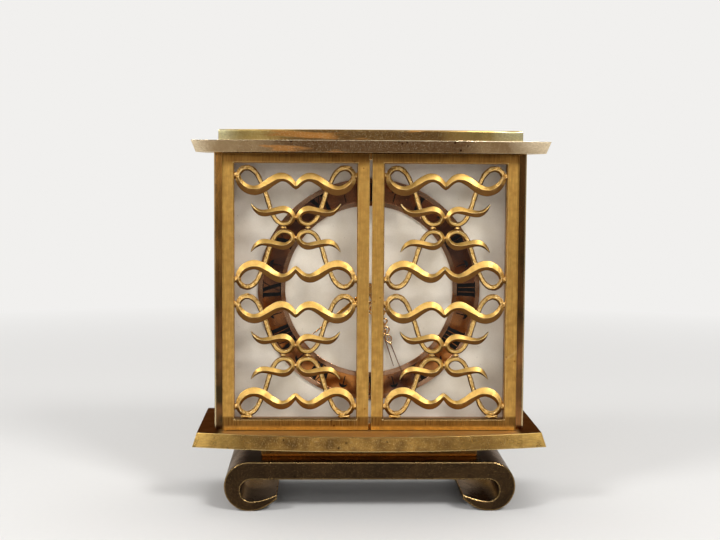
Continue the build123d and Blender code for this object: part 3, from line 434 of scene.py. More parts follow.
# The pitted surface of the scrolls' loops, where the mesh's cast attribute says so, with raised spots
# rubbed bright and painted shade in the pits
def castSurface(tree, place, cast, tint, look):
    pits = remap(tree, noise(tree, place, wearAndPaintedLight["castScale"], 5.0), *wearAndPaintedLight["castPits"])
    raised = product(tree, cast, pits)
    tint = blend(tree, product(tree, cast, wearAndPaintedLight["castCover"]), tint, look["castTint"])
    tint = blend(tree, product(tree, raised, wearAndPaintedLight["castRough"]), tint, look["rubbed"])
    sunk = product(tree, cast, remap(tree, pits, *wearAndPaintedLight["castSunk"]))
    return blend(tree, sunk, tint, look["dirt"]), raised


# Fine scratches in two directions, broken up by a noise
def scratchLines(tree, place, strength):
    lines = []
    for turn in wearAndPaintedLight["scratchTurns"]:
        sockets = {"Vector": place, "Rotation": turn, "Scale": wearAndPaintedLight["scratchStretch"]}
        sockets = {"Vector": addNode(tree, "Mapping", sockets).outputs[0], "Scale": wearAndPaintedLight["scratchScale"]}
        cells = addNode(tree, "TexVoronoi", sockets, feature="DISTANCE_TO_EDGE")
        lines.append(remap(tree, cells.outputs["Distance"], 0.0, wearAndPaintedLight["scratchWidth"], strength, 0.0))
    scale, start, full = wearAndPaintedLight["scratchBreak"]
    return product(tree, larger(tree, *lines), remap(tree, noise(tree, place, scale, 4.0), start, full))


# Small dark spots, in some places only
def darkSpots(tree, place, strength):
    cells = addNode(tree, "TexVoronoi", {"Vector": place, "Scale": wearAndPaintedLight["spotScale"]})
    share = wearAndPaintedLight["spotShare"]
    spots = remap(tree, cells.outputs["Distance"], share, share + wearAndPaintedLight["spotFade"], strength, 0.0)
    scale, start, full = wearAndPaintedLight["spotChoice"]
    return product(tree, spots, remap(tree, noise(tree, place, scale, 1.0), start, full))


def metal(name):
    look = {**plainMetal, **metalFinishes[name]}
    polished, tarnished, rubbed = (colour(*tint) for tint in look["tints"])
    look["rubbed"] = rubbed
    material, tree, shader, place = startMaterial(name)
    scale, start, full = look["patches"]
    patches = noise(tree, place, scale, 6.0)
    tint = blend(tree, remap(tree, patches, start, full), polished, tarnished)
    tint = placedMarks(tree, place, patches, tint, look)
    if "castTint" in look:
        cast = addNode(tree, "Attribute", attribute_name="cast").outputs["Fac"]
        tint, castRaised = castSurface(tree, place, cast, tint, look)
    stretch, scale, brushed = look["brush"]
    fine = noise(tree, place, scale, 3.0, stretch)
    tint = blend(tree, remap(tree, fine, *midNoise, 0.0, brushed), tint, tarnished)
    scratches = scratchLines(tree, place, look["scratches"])
    spots = darkSpots(tree, place, look["spots"])
    tint = blend(tree, spots, tint, tarnished, "MULTIPLY")

    # rubbed edges, partly wear and partly painted highlight
    normal = addNode(tree, "NewGeometry").outputs["Normal"]
    rounded = addNode(tree, "Bevel", {"Radius": look["edge"] * mm}, samples=6).outputs[0]
    facing = vectorMath(tree, "DOT_PRODUCT", rounded, normal)["Value"]
    tint = blend(tree, remap(tree, facing, *wearAndPaintedLight["rubbedEdge"]), tint, rubbed)
    tint = blend(tree, product(tree, scratches, wearAndPaintedLight["scratchTint"]), tint, rubbed)

    # painted shade on faces that look down, and on upright sides
    facesUp = axisOf(tree, normal, 2)
    dirt = look.get("dirt") or colour(*(share * wearAndPaintedLight["dirtShare"] for share in tarnished[:3]))
    tint = blend(tree, remap(tree, facesUp, *wearAndPaintedLight["under"], 0.0, look["down"]), tint, dirt)
    if "walls" in look:
        facing = calc(tree, "ABSOLUTE", axisOf(tree, addNode(tree, "TexCoord").outputs["Normal"], 1))
        onWall = remap(tree, facing, *wearAndPaintedLight["wallFacing"], 0.0, look["walls"])
        onWall = product(tree, onWall, remap(tree, cast, *wearAndPaintedLight["castWalls"]))
        tint = blend(tree, onWall, tint, look["wallTint"])
    roughness = remap(tree, patches, *wearAndPaintedLight["roughFrom"], *look["roughness"])
    roughness = calc(tree, "ADD", roughness, product(tree, spots, wearAndPaintedLight["spotRough"]))
    # a painted reflection of the doors on the base plate's top, dark at its sides
    if "top" in look:
        sideways = calc(tree, "ABSOLUTE", axisOf(tree, place, 0))
        beside = remap(tree, sideways, *wearAndPaintedLight["topSidesFrom"])
        topReflectionTint = blend(tree, beside, look["top"], look["topSides"])
        onTop = remap(tree, facesUp, *wearAndPaintedLight["topFacing"])
        tint = blend(tree, onTop, tint, topReflectionTint)
        roughness = calc(tree, "ADD", roughness, product(tree, onTop, wearAndPaintedLight["topRough"]))

    # brushed grain, spots and scratches as relief
    sunk = product(tree, spots, wearAndPaintedLight["spotDepth"])
    height = calc(tree, "SUBTRACT", product(tree, fine, look["grain"]), sunk)
    height = calc(tree, "ADD", height, wearAndPaintedLight["bumpBase"])
    height = calc(tree, "SUBTRACT", height, product(tree, scratches, wearAndPaintedLight["scratchDepth"]))
    if "castTint" in look:
        sockets = {0: castRaised, 1: wearAndPaintedLight["castBump"], 2: height}
        height = addNode(tree, "Math", sockets, operation="MULTIPLY_ADD").outputs[0]
    bump = addNode(tree, "Bump", {"Height": height, "Normal": rounded, **wearAndPaintedLight["bump"]})
    fillSockets(tree, shader, {
        "Base Color": tint, "Roughness": roughness, "Normal": bump.outputs[0], "Metallic": 1.0,
        "Specular Tint": wearAndPaintedLight["grazing"].get(name, wearAndPaintedLight["grazing"]["other"]),
    })
    return material


finishes = {name: metal(name) for name in metalFinishes}

creamLook = {
    # paint mottled between fresh and aged, partly real ageing and partly painted soft shadows
    "fresh": colour(0.80, 0.740, 0.635), "aged": colour(0.64, 0.565, 0.44),
    "ageScale": 44, "ageAt": (0.35, 0.72),
    "grain": colour(0.36, 0.29, 0.21), "grainScale": 2600, "grainAt": (0.35, 0.7, 0.0, 0.12),
    "fleck": colour(0.25, 0.18, 0.12), "fleckScale": 190, "fleckAt": (0.02, 0.06, 0.5, 0.0),
    "roughness": (0.38, 0.5), "coat": 0.25, "bump": 0.15,
}
enamelLook = {
    "fresh": colour(0.003, 0.003, 0.003), "worn": colour(0.010, 0.009, 0.008),
    "patchScale": 320, "wornAt": (0.4, 0.75), "roughness": (0.35, 0.7, 0.42, 0.60),
    "specular": 0.12, "bump": 0.2,
}


# Relief of a paint, 0.1 mm deep at full strength
def paintRelief(tree, height, strength):
    sockets = {"Height": height, "Strength": strength, "Distance": 0.1 * mm}
    return addNode(tree, "Bump", sockets).outputs[0]


def creamPaint():
    look = creamLook
    material, tree, shader, place = startMaterial("creamDial")
    # blotches of age, deepened to serve as painted soft shadows of the scrolls
    ageingAndShade = remap(tree, noise(tree, place, look["ageScale"], 5.0), *look["ageAt"])
    tint = blend(tree, ageingAndShade, look["fresh"], look["aged"])
    grain = noise(tree, place, look["grainScale"], 3.0)
    tint = blend(tree, remap(tree, grain, *look["grainAt"]), tint, look["grain"])
    cells = addNode(tree, "TexVoronoi", {"Vector": place, "Scale": look["fleckScale"]})
    tint = blend(tree, remap(tree, cells.outputs["Distance"], *look["fleckAt"]), tint, look["fleck"])
    fillSockets(tree, shader, {
        "Base Color": tint, "Roughness": remap(tree, ageingAndShade, 0.0, 1.0, *look["roughness"]),
        "Normal": paintRelief(tree, grain, look["bump"]),
        "Coat Weight": look["coat"], "Coat Roughness": look["coat"],
    })
    return material


def blackEnamel():
    look = enamelLook
    material, tree, shader, place = startMaterial("blackEnamel")
    patches = noise(tree, place, look["patchScale"], 4.0)
    fillSockets(tree, shader, {
        "Base Color": blend(tree, remap(tree, patches, *look["wornAt"]), look["fresh"], look["worn"]),
        "Roughness": remap(tree, patches, *look["roughness"]),
        "Normal": paintRelief(tree, patches, look["bump"]), "Specular IOR Level": look["specular"],
    })
    return material


finishes["creamDial"] = creamPaint()
finishes["blackEnamel"] = blackEnamel()

# Most pieces have the finish that their slot is named after, such as satinBrass for satin_brass
ownFinish = {
    "top_plate": "plateBrass", "top_slab": "slabBrass", "spacer_plinth": "plinthBrass",
    "chapter_ring": "ringCopper", "case_front_frame": "stripBrass", "winding_key": "satinBrass",
    "alarm_winding_key": "satinBrass", "alarm_stop_button": "satinBrass", "rear_panel": "backBrass",
    "rear_cover": "backBrass",
}
slotOfNode = {part["node"]: part["material_slot"] for part in frame["record"]["subparts"]}
for node, slot in slotOfNode.items():
    first, second = slot.split("_")
    cadMesh = frame["nodes"][node].data
    cadMesh.materials.clear()
    cadMesh.materials.append(finishes[ownFinish.get(node, first + second.capitalize())])
print("finishes made:", len(finishes))


# Mesh helpers
# Makes a piece of what build adds to an empty shape, and lets it ride on a body
def makePiece(name, build, finish, body, slot, replaced=(), rounding=0.0, smooth=40):
    shape = bmesh.new()
    build(shape)
    bmesh.ops.remove_doubles(shape, verts=shape.verts, dist=1e-7)
    bmesh.ops.recalc_face_normals(shape, faces=shape.faces)
    mesh = bpy.data.meshes.new(name)
    shape.to_mesh(mesh)
    shape.free()
    piece = bpy.data.objects.new(name, mesh)
    scene.collection.objects.link(piece)
    mesh.materials.append(finishes[finish])
    for face in mesh.polygons:
        face.use_smooth = True
    mesh.set_sharp_from_angle(angle=math.radians(smooth))
    if rounding:
        bevel = piece.modifiers.new("softEdges", "BEVEL")
        bevel.width = rounding
        bevel.segments = 2
        bevel.angle_limit = math.radians(smooth)
        bevel.harden_normals = True
    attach(piece, body)
    if replaced:
        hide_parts(*replaced)


# Faces between rows of points, where each row goes round a section
def joinRows(shape, rows):
    for first, second in zip(rows, rows[1:]):
        for index in range(len(first)):
            after = (index + 1) % len(first)
            shape.faces.new((first[index], first[after], second[after], second[index]))


def closeEnds(shape, rows):
    shape.faces.new(rows[0])
    shape.faces.new(list(reversed(rows[-1])))


# Turns a closed profile round a line along Y. The profile has radius in millimetres,
# depth in metres and, where it is fluted, the depth of the flutes.
def turned(shape, middleX, middleZ, profile, flutes=0, segments=64):
    rings = []
    for step in range(segments):
        angle = 2 * math.pi * step / segments
        dip = 0.5 - 0.5 * math.cos(angle * flutes)
        ring = []
        for radius, depth, *fluteDepth in profile:
            reach = (radius - sum(fluteDepth) * dip) * mm
            place = (middleX + math.cos(angle) * reach, depth, middleZ + math.sin(angle) * reach)
            ring.append(shape.verts.new(place))
        rings.append(ring)
    joinRows(shape, rings + rings[:1])


# The lowest and highest corner of each separate solid in a node
def islands(node):
    shape = bmesh.new()
    shape.from_mesh(frame["nodes"][node].data)
    bmesh.ops.remove_doubles(shape, verts=shape.verts, dist=0.001 * mm)
    left = set(shape.verts)
    boxes = []
    while left:
        group = [left.pop()]
        for vertex in group:
            for link in vertex.link_edges:
                other = link.other_vert(vertex)
                if other in left:
                    left.remove(other)
                    group.append(other)
        low = [min(vertex.co[axis] for vertex in group) for axis in range(3)]
        high = [max(vertex.co[axis] for vertex in group) for axis in range(3)]
        boxes.append((low, high))
    shape.free()
    return sorted(boxes)


# Pierced scrollwork
# The same route as in the solids, in millimetres from the middle of one pattern:
# x, z, width of the strip and how far its ridge lies behind the front.
scrollRoute = (
    (-22.7, 12.2, 0.5, 0.6), (-20.4, 9.2, 2.2, 0.3), (-16.8, 7.4, 3.4, 0.0), (-11.4, 8.2, 3.6, 0.0),
    (-6.2, 9.3, 3.7, 0.0), (-3.1, 8.1, 3.2, 0.0), (-1.4, 5.4, 2.7, 0.2), (-2.9, 2.7, 2.6, 0.5),
    (-6.2, 1.8, 2.4, 0.8), (-9.1, 3.0, 2.45, 1.2), (-11.3, 5.8, 2.5, 1.43), (-13.4, 11.0, 2.55, 1.43),
    (-15.2, 17.0, 2.55, 1.43), (-17.4, 22.3, 2.45, 1.43), (-19.6, 26.9, 2.6, 1.2), (-22.4, 29.6, 2.85, 0.8),
    (-25.3, 30.2, 2.95, 0.5), (-27.8, 28.9, 2.9, 0.2), (-29.2, 26.2, 2.8, 0.1), (-28.2, 22.9, 3.6, 0.0),
    (-25.2, 20.0, 4.5, 0.0), (-20.9, 18.8, 4.9, 0.0), (-16.4, 20.3, 4.9, 0.0), (-12.2, 23.4, 4.9, 0.0),
    (-7.9, 25.5, 4.7, 0.0), (-4.0, 24.7, 4.0, 0.0), (0.0, 20.7, 2.9, 0.0),
)
scroll = {
    "steps": 7,  # points between two of the route's
    "ridgeHeight": 1.4, "strandHeight": 1.2, "setBack": 0.15,
    "strandDepth": 1.43,  # where the strand that passes behind lies
    "behindFrom": 0.8,  # depth at which a bar has turned into that strand
    "wall": 0.28, "wallMost": 0.3,  # upright edge beside each bevel, and its largest share of the height
    "ridgeFlat": 0.05, "flatMost": 0.4,  # half width of the worn ridge, and its largest share
    "ridgeLean": 0.17,  # how far the ridge moves to the inside of a bend, as a share of the width
    "fullBend": 0.45,  # radians of turn at which the ridge has moved all the way
    "bendReach": 0.6, "bendLeast": 0.2,  # how far a bend is measured to each side, and the least length
    "strandFlat": 0.26,  # flat share of the strand
    "thinnest": 0.3,
    "hammer": 0.05, "hammerWaves": (2.9, 1.3), "hammerDepth": 0.4,  # unevenness left by the file
    "nudge": 0.01,  # how far to each side the route's direction is taken
    "castFrom": (8.0, 10.5), "castTo": (18.0, 20.0),  # the part of the route left as cast
    "castLump": 0.08, "castWaves": (9.7, 4.1),  # share by which its width varies
    "rails": (5.0, 5.7),  # heights of the door's rails, below and above the opening
    "seed": 1.7, "rounding": 0.00006,
}
lastPlace = len(scrollRoute) - 1.0001  # just before the route's end


# A smooth curve through points, where a whole position is one of them
def along(points, position):
    index = min(int(position), len(points) - 2)
    share = position - index
    around = [points[min(max(index + offset, 0), len(points) - 1)] for offset in (-1, 0, 1, 2)]
    return [
        0.5 * (2 * b + (c - a) * share + (2 * a - 5 * b + 4 * c - d) * share**2
               + (3 * b - a - 3 * c + d) * share**3)
        for a, b, c, d in zip(*around)
    ]


def scrollSection(width, depth, wobble, bend):
    ridgeHeight, strandHeight = scroll["ridgeHeight"], scroll["strandHeight"]
    height = ridgeHeight + (strandHeight - ridgeHeight) * depth / scroll["strandDepth"]
    ridge = depth + scroll["setBack"]
    half = width / 2
    wall = min(scroll["wall"], height * scroll["wallMost"])
    behind = min(depth / scroll["behindFrom"], 1.0)
    flat = min(scroll["ridgeFlat"], half * scroll["flatMost"]) * (1 - behind)
    flat += scroll["strandFlat"] * width * behind
    centre = wobble + scroll["ridgeLean"] * width * bend * (1 - behind)
    uneven = ridge + wobble * scroll["hammerDepth"]
    return (
        (-half, ridge + height), (-half, ridge + height - wall), (centre - flat, uneven),
        (centre + flat, ridge), (half, ridge + height - wall), (half, ridge + height),
    )


# How much of the cast surface shows at a place on the route, from 0 to 1
def castShare(position):
    start, full = scroll["castFrom"]
    ends, gone = scroll["castTo"]
    return max(0.0, min((position - start) / (full - start), (gone - position) / (gone - ends), 1.0))


# How sharply the route bends at a place, from -1 to 1
def bendAt(position, x, z):
    reach = scroll["bendReach"]
    ends = (position - reach, position + reach)
    near, far = (along(scrollRoute, min(max(end, 0), lastPlace)) for end in ends)
    incoming, outgoing = Vector((x - near[0], z - near[1])), Vector((far[0] - x, far[1] - z))
    if min(incoming.length, outgoing.length) <= scroll["bendLeast"]:
        return 0.0
    return max(-1.0, min(1.0, -incoming.angle_signed(outgoing) / scroll["fullBend"]))


# The product of two waves along the route, different for each scroll
def unevenness(position, waves, seed, shift):
    return math.sin(position * waves[0] + seed) * math.sin(position * waves[1] + seed * shift)


def scrollStrip(shape, middleX, middleZ, doorFront, flipX, flipZ, seed):
    count = (len(scrollRoute) - 1) * scroll["steps"]
    rows = []
    castLayer = shape.verts.layers.float.new("cast")
    for step in range(count + 1):
        position = step / scroll["steps"]
        x, z, width, depth = along(scrollRoute, position)
        cast = castShare(position)
        width *= 1 + scroll["castLump"] * cast * unevenness(position, scroll["castWaves"], seed, 2)
        ahead = along(scrollRoute, min(position + scroll["nudge"], lastPlace))
        behind = along(scrollRoute, max(position - scroll["nudge"], 0))
        direction = Vector((ahead[0] - behind[0], ahead[1] - behind[1])).normalized()
        across = Vector((0, 1)) if step == count else Vector((-direction.y, direction.x))
        wobble = scroll["hammer"] * unevenness(position, scroll["hammerWaves"], seed, 2.1)
        width, bend = max(width, scroll["thinnest"]), bendAt(position, x, z)
        row = []
        for reach, inward in scrollSection(width, max(depth, 0.0), wobble, bend):
            px = (x + across.x * reach) * flipX
            pz = (z + across.y * reach) * flipZ
            vertex = shape.verts.new(((middleX + px) * mm, doorFront + inward * mm, (middleZ + pz) * mm))
            vertex[castLayer] = cast
            row.append(vertex)
        rows.append(row)
    joinRows(shape, rows)
    closeEnds(shape, rows)


solder = {
    # across and up from a pattern's middle, depth behind the front, and half sizes, in millimetres
    "loops": ((6.2, 0.0, 1.45), (1.5, 0.8, 0.95)),
    "sides": ((30.6, 26.3, 1.2), (1.0, 0.8, 1.7)),
    "curls": ((0.0, 5.2, 1.1), (0.9, 0.7, 1.0)),
    # up from the lowest and from the highest point of the scrollwork, where loops meet the rails
    "lowTab": ((25.0, -0.1, 1.6), (3.2, 0.9, 1.1)),
    "highTab": ((25.0, -0.9, 1.3), (3.3, 0.8, 1.0)),
    "swell": 0.16, "swellWaves": (5, 6),  # how uneven each lump is
}


# A lump of solder, where middle is what its place is measured from
def solderLump(shape, kind, middle, flipX, flipZ, seed):
    (across, up, behind), (halfX, halfY, halfZ) = solder[kind]
    place = Vector((
        middle[0] + flipX * across * mm, middle[1] + behind * mm, middle[2] + flipZ * up * mm,
    ))
    waveX, waveZ = solder["swellWaves"]
    castLayer = shape.verts.layers.float.get("cast") or shape.verts.layers.float.new("cast")
    for vertex in bmesh.ops.create_icosphere(shape, subdivisions=3, radius=1.0)["verts"]:
        vertex[castLayer] = 1.0
        way = vertex.co.normalized()
        swell = 1 + solder["swell"] * math.sin(waveX * way.x + seed) * math.sin(waveZ * way.z + 2 * seed)
        vertex.co = place + Vector((way.x * halfX, way.y * halfY, way.z * halfZ)) * swell * mm


def scrollwork(side):
    low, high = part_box(side + "_scrollwork")
    frameLow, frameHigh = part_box(side + "_door_frame")
    doorFront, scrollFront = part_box("left_door_frame")[0][1], low[1]
    middleX, cadMiddle = ((low[axis] + high[axis]) / 2 / mm for axis in (0, 2))
    cellHalf = ((frameHigh[2] - frameLow[2]) / mm - sum(scroll["rails"])) / 4
    onDoor = ("giltBrass", side + "_door", "gilt_brass")
    replaced = (side + "_scrollwork",)
    corners = [(level, flipX, flipZ) for level in (-1, 1) for flipX in (-1, 1) for flipZ in (-1, 1)]
    for number, (level, flipX, flipZ) in enumerate(corners, 1):
        middleZ = cadMiddle + level * cellHalf

        def strip(shape):
            scrollStrip(shape, middleX, middleZ, doorFront, flipX, flipZ, number * scroll["seed"])

        name = side + "_scroll_" + str(number)
        makePiece(name, strip, *onDoor, replaced, rounding=scroll["rounding"], smooth=24)

    def tabs(shape):
        for flipX in (-1, 1):
            for kind, height, seed in (("lowTab", low[2], flipX), ("highTab", high[2], flipX * 3)):
                solderLump(shape, kind, (middleX * mm, scrollFront, height), flipX, 1, seed)

    def beads(shape):
        for level in (-1, 1):
            middle = (middleX * mm, scrollFront, (cadMiddle + level * cellHalf) * mm)
            for flipX in (-1, 1):
                solderLump(shape, "loops", middle, flipX, 1, level + flipX)
                for flipZ in (-1, 1):
                    solderLump(shape, "sides", middle, flipX, flipZ, flipX * 2 + flipZ)
            for flipZ in (-1, 1):
                solderLump(shape, "curls", middle, 1, flipZ, flipZ)

    makePiece(side + "_scroll_tabs", tabs, *onDoor, smooth=70)
    makePiece(side + "_scroll_solder", beads, *onDoor, replaced, smooth=70)


for side in ("left", "right"):
    scrollwork(side)
print("scrollwork made")


# Hour numerals and half hour arrows
dial = {
    "numerals": "XII I II III IIII V VI VII VIII IX X XI".split(),
    "bandInner": 46.1, "bandOuter": 55.5,
    "readAt": 50.5,  # radius at which widths are true
    "bandSink": 0.6,  # how far the band lies behind the ring's rims
    "bar": 2.0, "hairline": 0.42, "gap": 0.34, "serif": 0.55,
    "wide": {"I": 2.0, "V": 5.0, "X": 5.2},
    "enamelRise": 0.08, "enamelSink": 0.02,
    "strokeLift": 0.004,  # keeps crossing strokes apart
    "arrowStart": 47.2, "arrowTip": 53.6, "arrowStem": 0.5,
    "arrowHead": ((1.0, 1.65), (2.0, 2.35), (1.8, 1.05), (0.95, 0.25)),  # across, back from the tip
    "parts": 4,  # parts of each side of a stroke, to follow the ring
}
bandFront = ringHigh[1] - dial["bandSink"] * mm
numeralTall = dial["bandOuter"] - dial["bandInner"]


# A point that is across and outward from a numeral's own base line, in millimetres
def dialPoint(across, radius, angle, depth):
    turn = angle + across / dial["readAt"]
    x, z = math.sin(turn) * radius * mm, math.cos(turn) * radius * mm
    return Vector((dialCentre[0] + x, depth, dialCentre[2] + z))


def stroke(lowX, highX, width):
    return [(lowX, 0.0), (lowX + width, 0.0), (highX + width, numeralTall), (highX, numeralTall)]


def glyphStrokes(glyph, start):
    bar, hair, wide = dial["bar"], dial["hairline"], dial["wide"][glyph]
    end, middle = start + wide, start + wide / 2
    if glyph == "I":
        return [stroke(start, start, bar)]
    if glyph == "V":
        return [stroke(middle - bar * 0.5, start, bar), stroke(middle, end - hair, hair)]
    return [stroke(end - bar, start, bar), stroke(start, end - hair, hair)]


def numeralStrokes(text):
    strokes = []
    start = 0.0
    for glyph in text:
        strokes += glyphStrokes(glyph, start)
        start += dial["wide"][glyph] + dial["gap"]
    total = start - dial["gap"]
    left, right, hair = -dial["serif"], total + dial["serif"], dial["hairline"]
    for low in (0.0, numeralTall - hair):
        strokes.append([(left, low), (right, low), (right, low + hair), (left, low + hair)])
    return [[(x - total / 2, z) for x, z in stroke] for stroke in strokes]


def enamelStroke(shape, outline, angle, lift):
    fine = []
    for (x, z), (nextX, nextZ) in zip(outline, outline[1:] + outline[:1]):
        for part in range(dial["parts"]):
            share = part / dial["parts"]
            fine.append((x + (nextX - x) * share, z + (nextZ - z) * share))
    rows = []
    for depth in (-dial["enamelRise"] - lift, dial["enamelSink"]):
        points = (dialPoint(x, dial["bandInner"] + z, angle, bandFront + depth * mm) for x, z in fine)
        rows.append([shape.verts.new(point) for point in points])
    closeEnds(shape, rows)
    joinRows(shape, rows)


def numeral(hour, text):
    def build(shape):
        for index, outline in enumerate(numeralStrokes(text)):
            enamelStroke(shape, outline, math.radians(30 * hour), dial["strokeLift"] * index)

    makePiece("numeral_" + str(hour or 12), build, "blackEnamel", "case", "copper_brown", smooth=30)


def halfHourArrow(hour):
    base = dial["bandInner"]
    start, tip, stem = dial["arrowStart"] - base, dial["arrowTip"] - base, dial["arrowStem"] / 2
    rightSide = [(stem, start), (stem, tip - dial["arrowHead"][0][1])]
    rightSide += [(across, tip - back) for across, back in dial["arrowHead"]]
    outline = rightSide + [(0, tip)] + [(-across, outward) for across, outward in reversed(rightSide)]

    def build(shape):
        enamelStroke(shape, outline, math.radians(30 * hour + 15), 0.0)

    name = "half_hour_arrow_" + str(hour + 1)
    makePiece(name, build, "blackEnamel", "case", "copper_brown", smooth=30)


for hour, text in enumerate(dial["numerals"]):
    numeral(hour, text)
    halfHourArrow(hour)
print("numerals and arrows made")


# Hands
hands = {
    # degrees from twelve, then in millimetres: length, the ornament's ends and the hole's radius
    "minute_hand": {"angle": 158.1, "length": 47.3, "ornament": (6.6, 30.0), "hole": 0.95},
    "hour_hand": {"angle": 162.0, "length": 42.2, "ornament": (6.0, 25.2), "hole": 1.7},
    "alarm_hand": {"angle": 231.3, "length": 37.5, "ornament": None, "hole": 2.45},
}
handDetail = {
    "hub": 3.4, "hubRound": 0.14, "rootInside": 0.6,
    "groove": (2.75, 0.10, 0.12),  # radius, half width and depth of the hub's groove
    "links": 5, "steps": 90,
    "spread": (4.3, 1.2), "strand": (1.0, 0.66),  # near the hub and at the needle
    "strandDip": 0.09, "spine": 0.34, "spineDip": 0.12,
    "eye": 0.34, "eyeWire": 0.30, "eyeDip": 0.12,  # an eye's size is a share of the spread
    "bead": 0.85, "beadTop": (0.6, 0.08, 0.26),  # share of its radius, and dips there and at the side
    # widths near the hub and at the end, and how deep the ridge lies there
    "stalk": ((1.7, 0.04), (1.0, 0.04)), "needle": ((0.62, 0.05), (0.30, 0.12)),
    "wedge": ((2.7, 0.02), (0.35, 0.10)),
    "edge": 0.16,  # how far a hand's sides lie behind its ridge
}


def handPoint(angle, across, outward, depth):
    x = math.sin(angle) * outward + math.cos(angle) * across
    z = math.cos(angle) * outward - math.sin(angle) * across
    return (dialCentre[0] + x * mm, depth, dialCentre[2] + z * mm)


# A ridged bar along a route of across, outward, width and how deep the ridge lies
def handBar(shape, angle, route, front, back):
    rows = []
    for index, (across, outward, width, dip) in enumerate(route):
        before, after = route[max(index - 1, 0)], route[min(index + 1, len(route) - 1)]
        direction = Vector((after[0] - before[0], after[1] - before[1])).normalized()
        half = width / 2
        ridge = front + dip * mm
        shoulder = ridge + handDetail["edge"] * mm
        section = ((-half, back), (-half, shoulder), (0, ridge), (half, shoulder), (half, back))
        row = []
        for reach, depth in section:
            x, z = across - direction.y * reach, outward + direction.x * reach
            row.append(shape.verts.new(handPoint(angle, x, z, depth)))
        rows.append(row)
    joinRows(shape, rows)
    closeEnds(shape, rows)


# A straight bar outward from one place on the hand to another
def taperedBar(shape, angle, kind, start, end, front, back):
    (wide, startDip), (narrow, endDip) = handDetail[kind]
    handBar(shape, angle, [(0, start, wide, startDip), (0, end, narrow, endDip)], front, back)


def handHub(shape, hole, front, back):
    hub, soft = handDetail["hub"], handDetail["hubRound"]
    groove, half, depth = handDetail["groove"]
    floor = front + depth * mm
    profile = [
        (hole, back), (hole, front), (groove - half * 2, front), (groove - half, floor),
        (groove + half, floor), (groove + half * 2, front), (hub - soft, front),
        (hub, front + soft * mm), (hub, back),
    ]
    turned(shape, dialCentre[0], dialCentre[2], profile, segments=72)


# Two strands twisted round each other, with a spine, an eye in each link and a bead at both ends
def handOrnament(shape, angle, low, high, front, back):
    def tapered(key, share):
        wide, narrow = handDetail[key]
        return wide + (narrow - wide) * share

    steps, links = handDetail["steps"], handDetail["links"]
    for side in (-1, 1):
        route = []
        for step in range(steps + 1):
            share = step / steps
            wave = links * math.pi * share
            across = side * tapered("spread", share) * math.sin(wave)
            dip = handDetail["strandDip"] * (1 + side * math.cos(wave))
            route.append((across, low + (high - low) * share, tapered("strand", share), dip))
        handBar(shape, angle, route, front, back)
    spine, dip = handDetail["spine"], handDetail["spineDip"]
    handBar(shape, angle, [(0, low, spine, dip), (0, high, spine, dip)], front, back)
    wire, shoulder = handDetail["eyeWire"], front + handDetail["eyeDip"] * mm
    for link in range(links):
        share = (link + 0.5) / links
        x, _, z = handPoint(angle, 0, low + (high - low) * share, front)
        eye = handDetail["eye"] * tapered("spread", share)
        inside = eye - wire
        profile = [
            (inside, back), (inside, shoulder), (eye - wire / 2, front), (eye, shoulder), (eye, back),
        ]
        turned(shape, x, z, profile, segments=24)
    bead, (top, topDip, sideDip) = handDetail["bead"], handDetail["beadTop"]
    topDepth, sideDepth = front + topDip * mm, front + sideDip * mm
    profile = [(0, back), (0, front), (bead * top, topDepth), (bead, sideDepth), (bead, back)]
    for outward in (low, high):
        x, _, z = handPoint(angle, 0, outward, front)
        turned(shape, x, z, profile, segments=24)


def makeHand(node, hand):
    front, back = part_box(node)[0][1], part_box(node)[1][1]
    angle, length, ornament = math.radians(hand["angle"]), hand["length"], hand["ornament"]
    root = handDetail["hub"] - handDetail["rootInside"]

    def blade(shape):
        handHub(shape, hand["hole"], front, back)
        if ornament:
            taperedBar(shape, angle, "stalk", root, ornament[0], front, back)
            handOrnament(shape, angle, *ornament, front, back)
        else:
            taperedBar(shape, angle, "wedge", root, length, front, back)

    def needle(shape):
        taperedBar(shape, angle, "needle", ornament[1], length, front, back)

    riding = (node + "_set", slotOfNode[node], (node,))
    makePiece(node + "_blade", blade, "handGilt" if ornament else "orangeBrass", *riding, smooth=30)
    # the needles take the darker copperBrown as painted shade
    if ornament:
        makePiece(node + "_needle", needle, "copperBrown", *riding, smooth=30)


for node, hand in hands.items():
    makeHand(node, hand)
print("hands made")


# Slotted screws and knurled knobs on the back
screws = {
    "nodes": ("rear_cover_screws", "rear_panel_screws"),
    "shank": 1.2, "head": 2.4, "headHeight": 1.0, "soft": 0.22,
    "slotHalf": 0.40, "slotFloor": 0.3, "slotOpen": 0.08,  # the slot is that much wider at the top
    "turn": 1.1,  # radians from one screw's slot to the next
    # the last is the thickness of a dark disc on each slot's floor, painted shade
    "arcSteps": 16, "sink": 0.02, "dirt": 0.06,
}
knobs = {
    # body, flutes, and the flutes' depth in millimetres
    "hand_setting_knob": ("minute_hand_set", 40, 0.28),
    "alarm_setting_knob": ("alarm_setting_set", 36, 0.28),
}
knobShape = {
    "neckShare": 0.7, "neck": 1.0, "soft": 0.45, "rim": 0.6, "dish": 0.5, "boss": 1.3, "fluteSteps": 8,
}


# Half of a slotted head: an arc outside, a straight side along the slot
def halfHead(shape, middleX, middleZ, turn, levels):
    rows = []
    for depth, radius, gap in levels:
        reach = math.acos(gap / radius)
        row = []
        for step in range(screws["arcSteps"] + 1):
            angle = -reach + 2 * reach * step / screws["arcSteps"] + turn
            x, z = math.cos(angle) * radius * mm, math.sin(angle) * radius * mm
            row.append(shape.verts.new((middleX + x, depth, middleZ + z)))
        rows.append(row)
    joinRows(shape, rows)
    closeEnds(shape, rows)


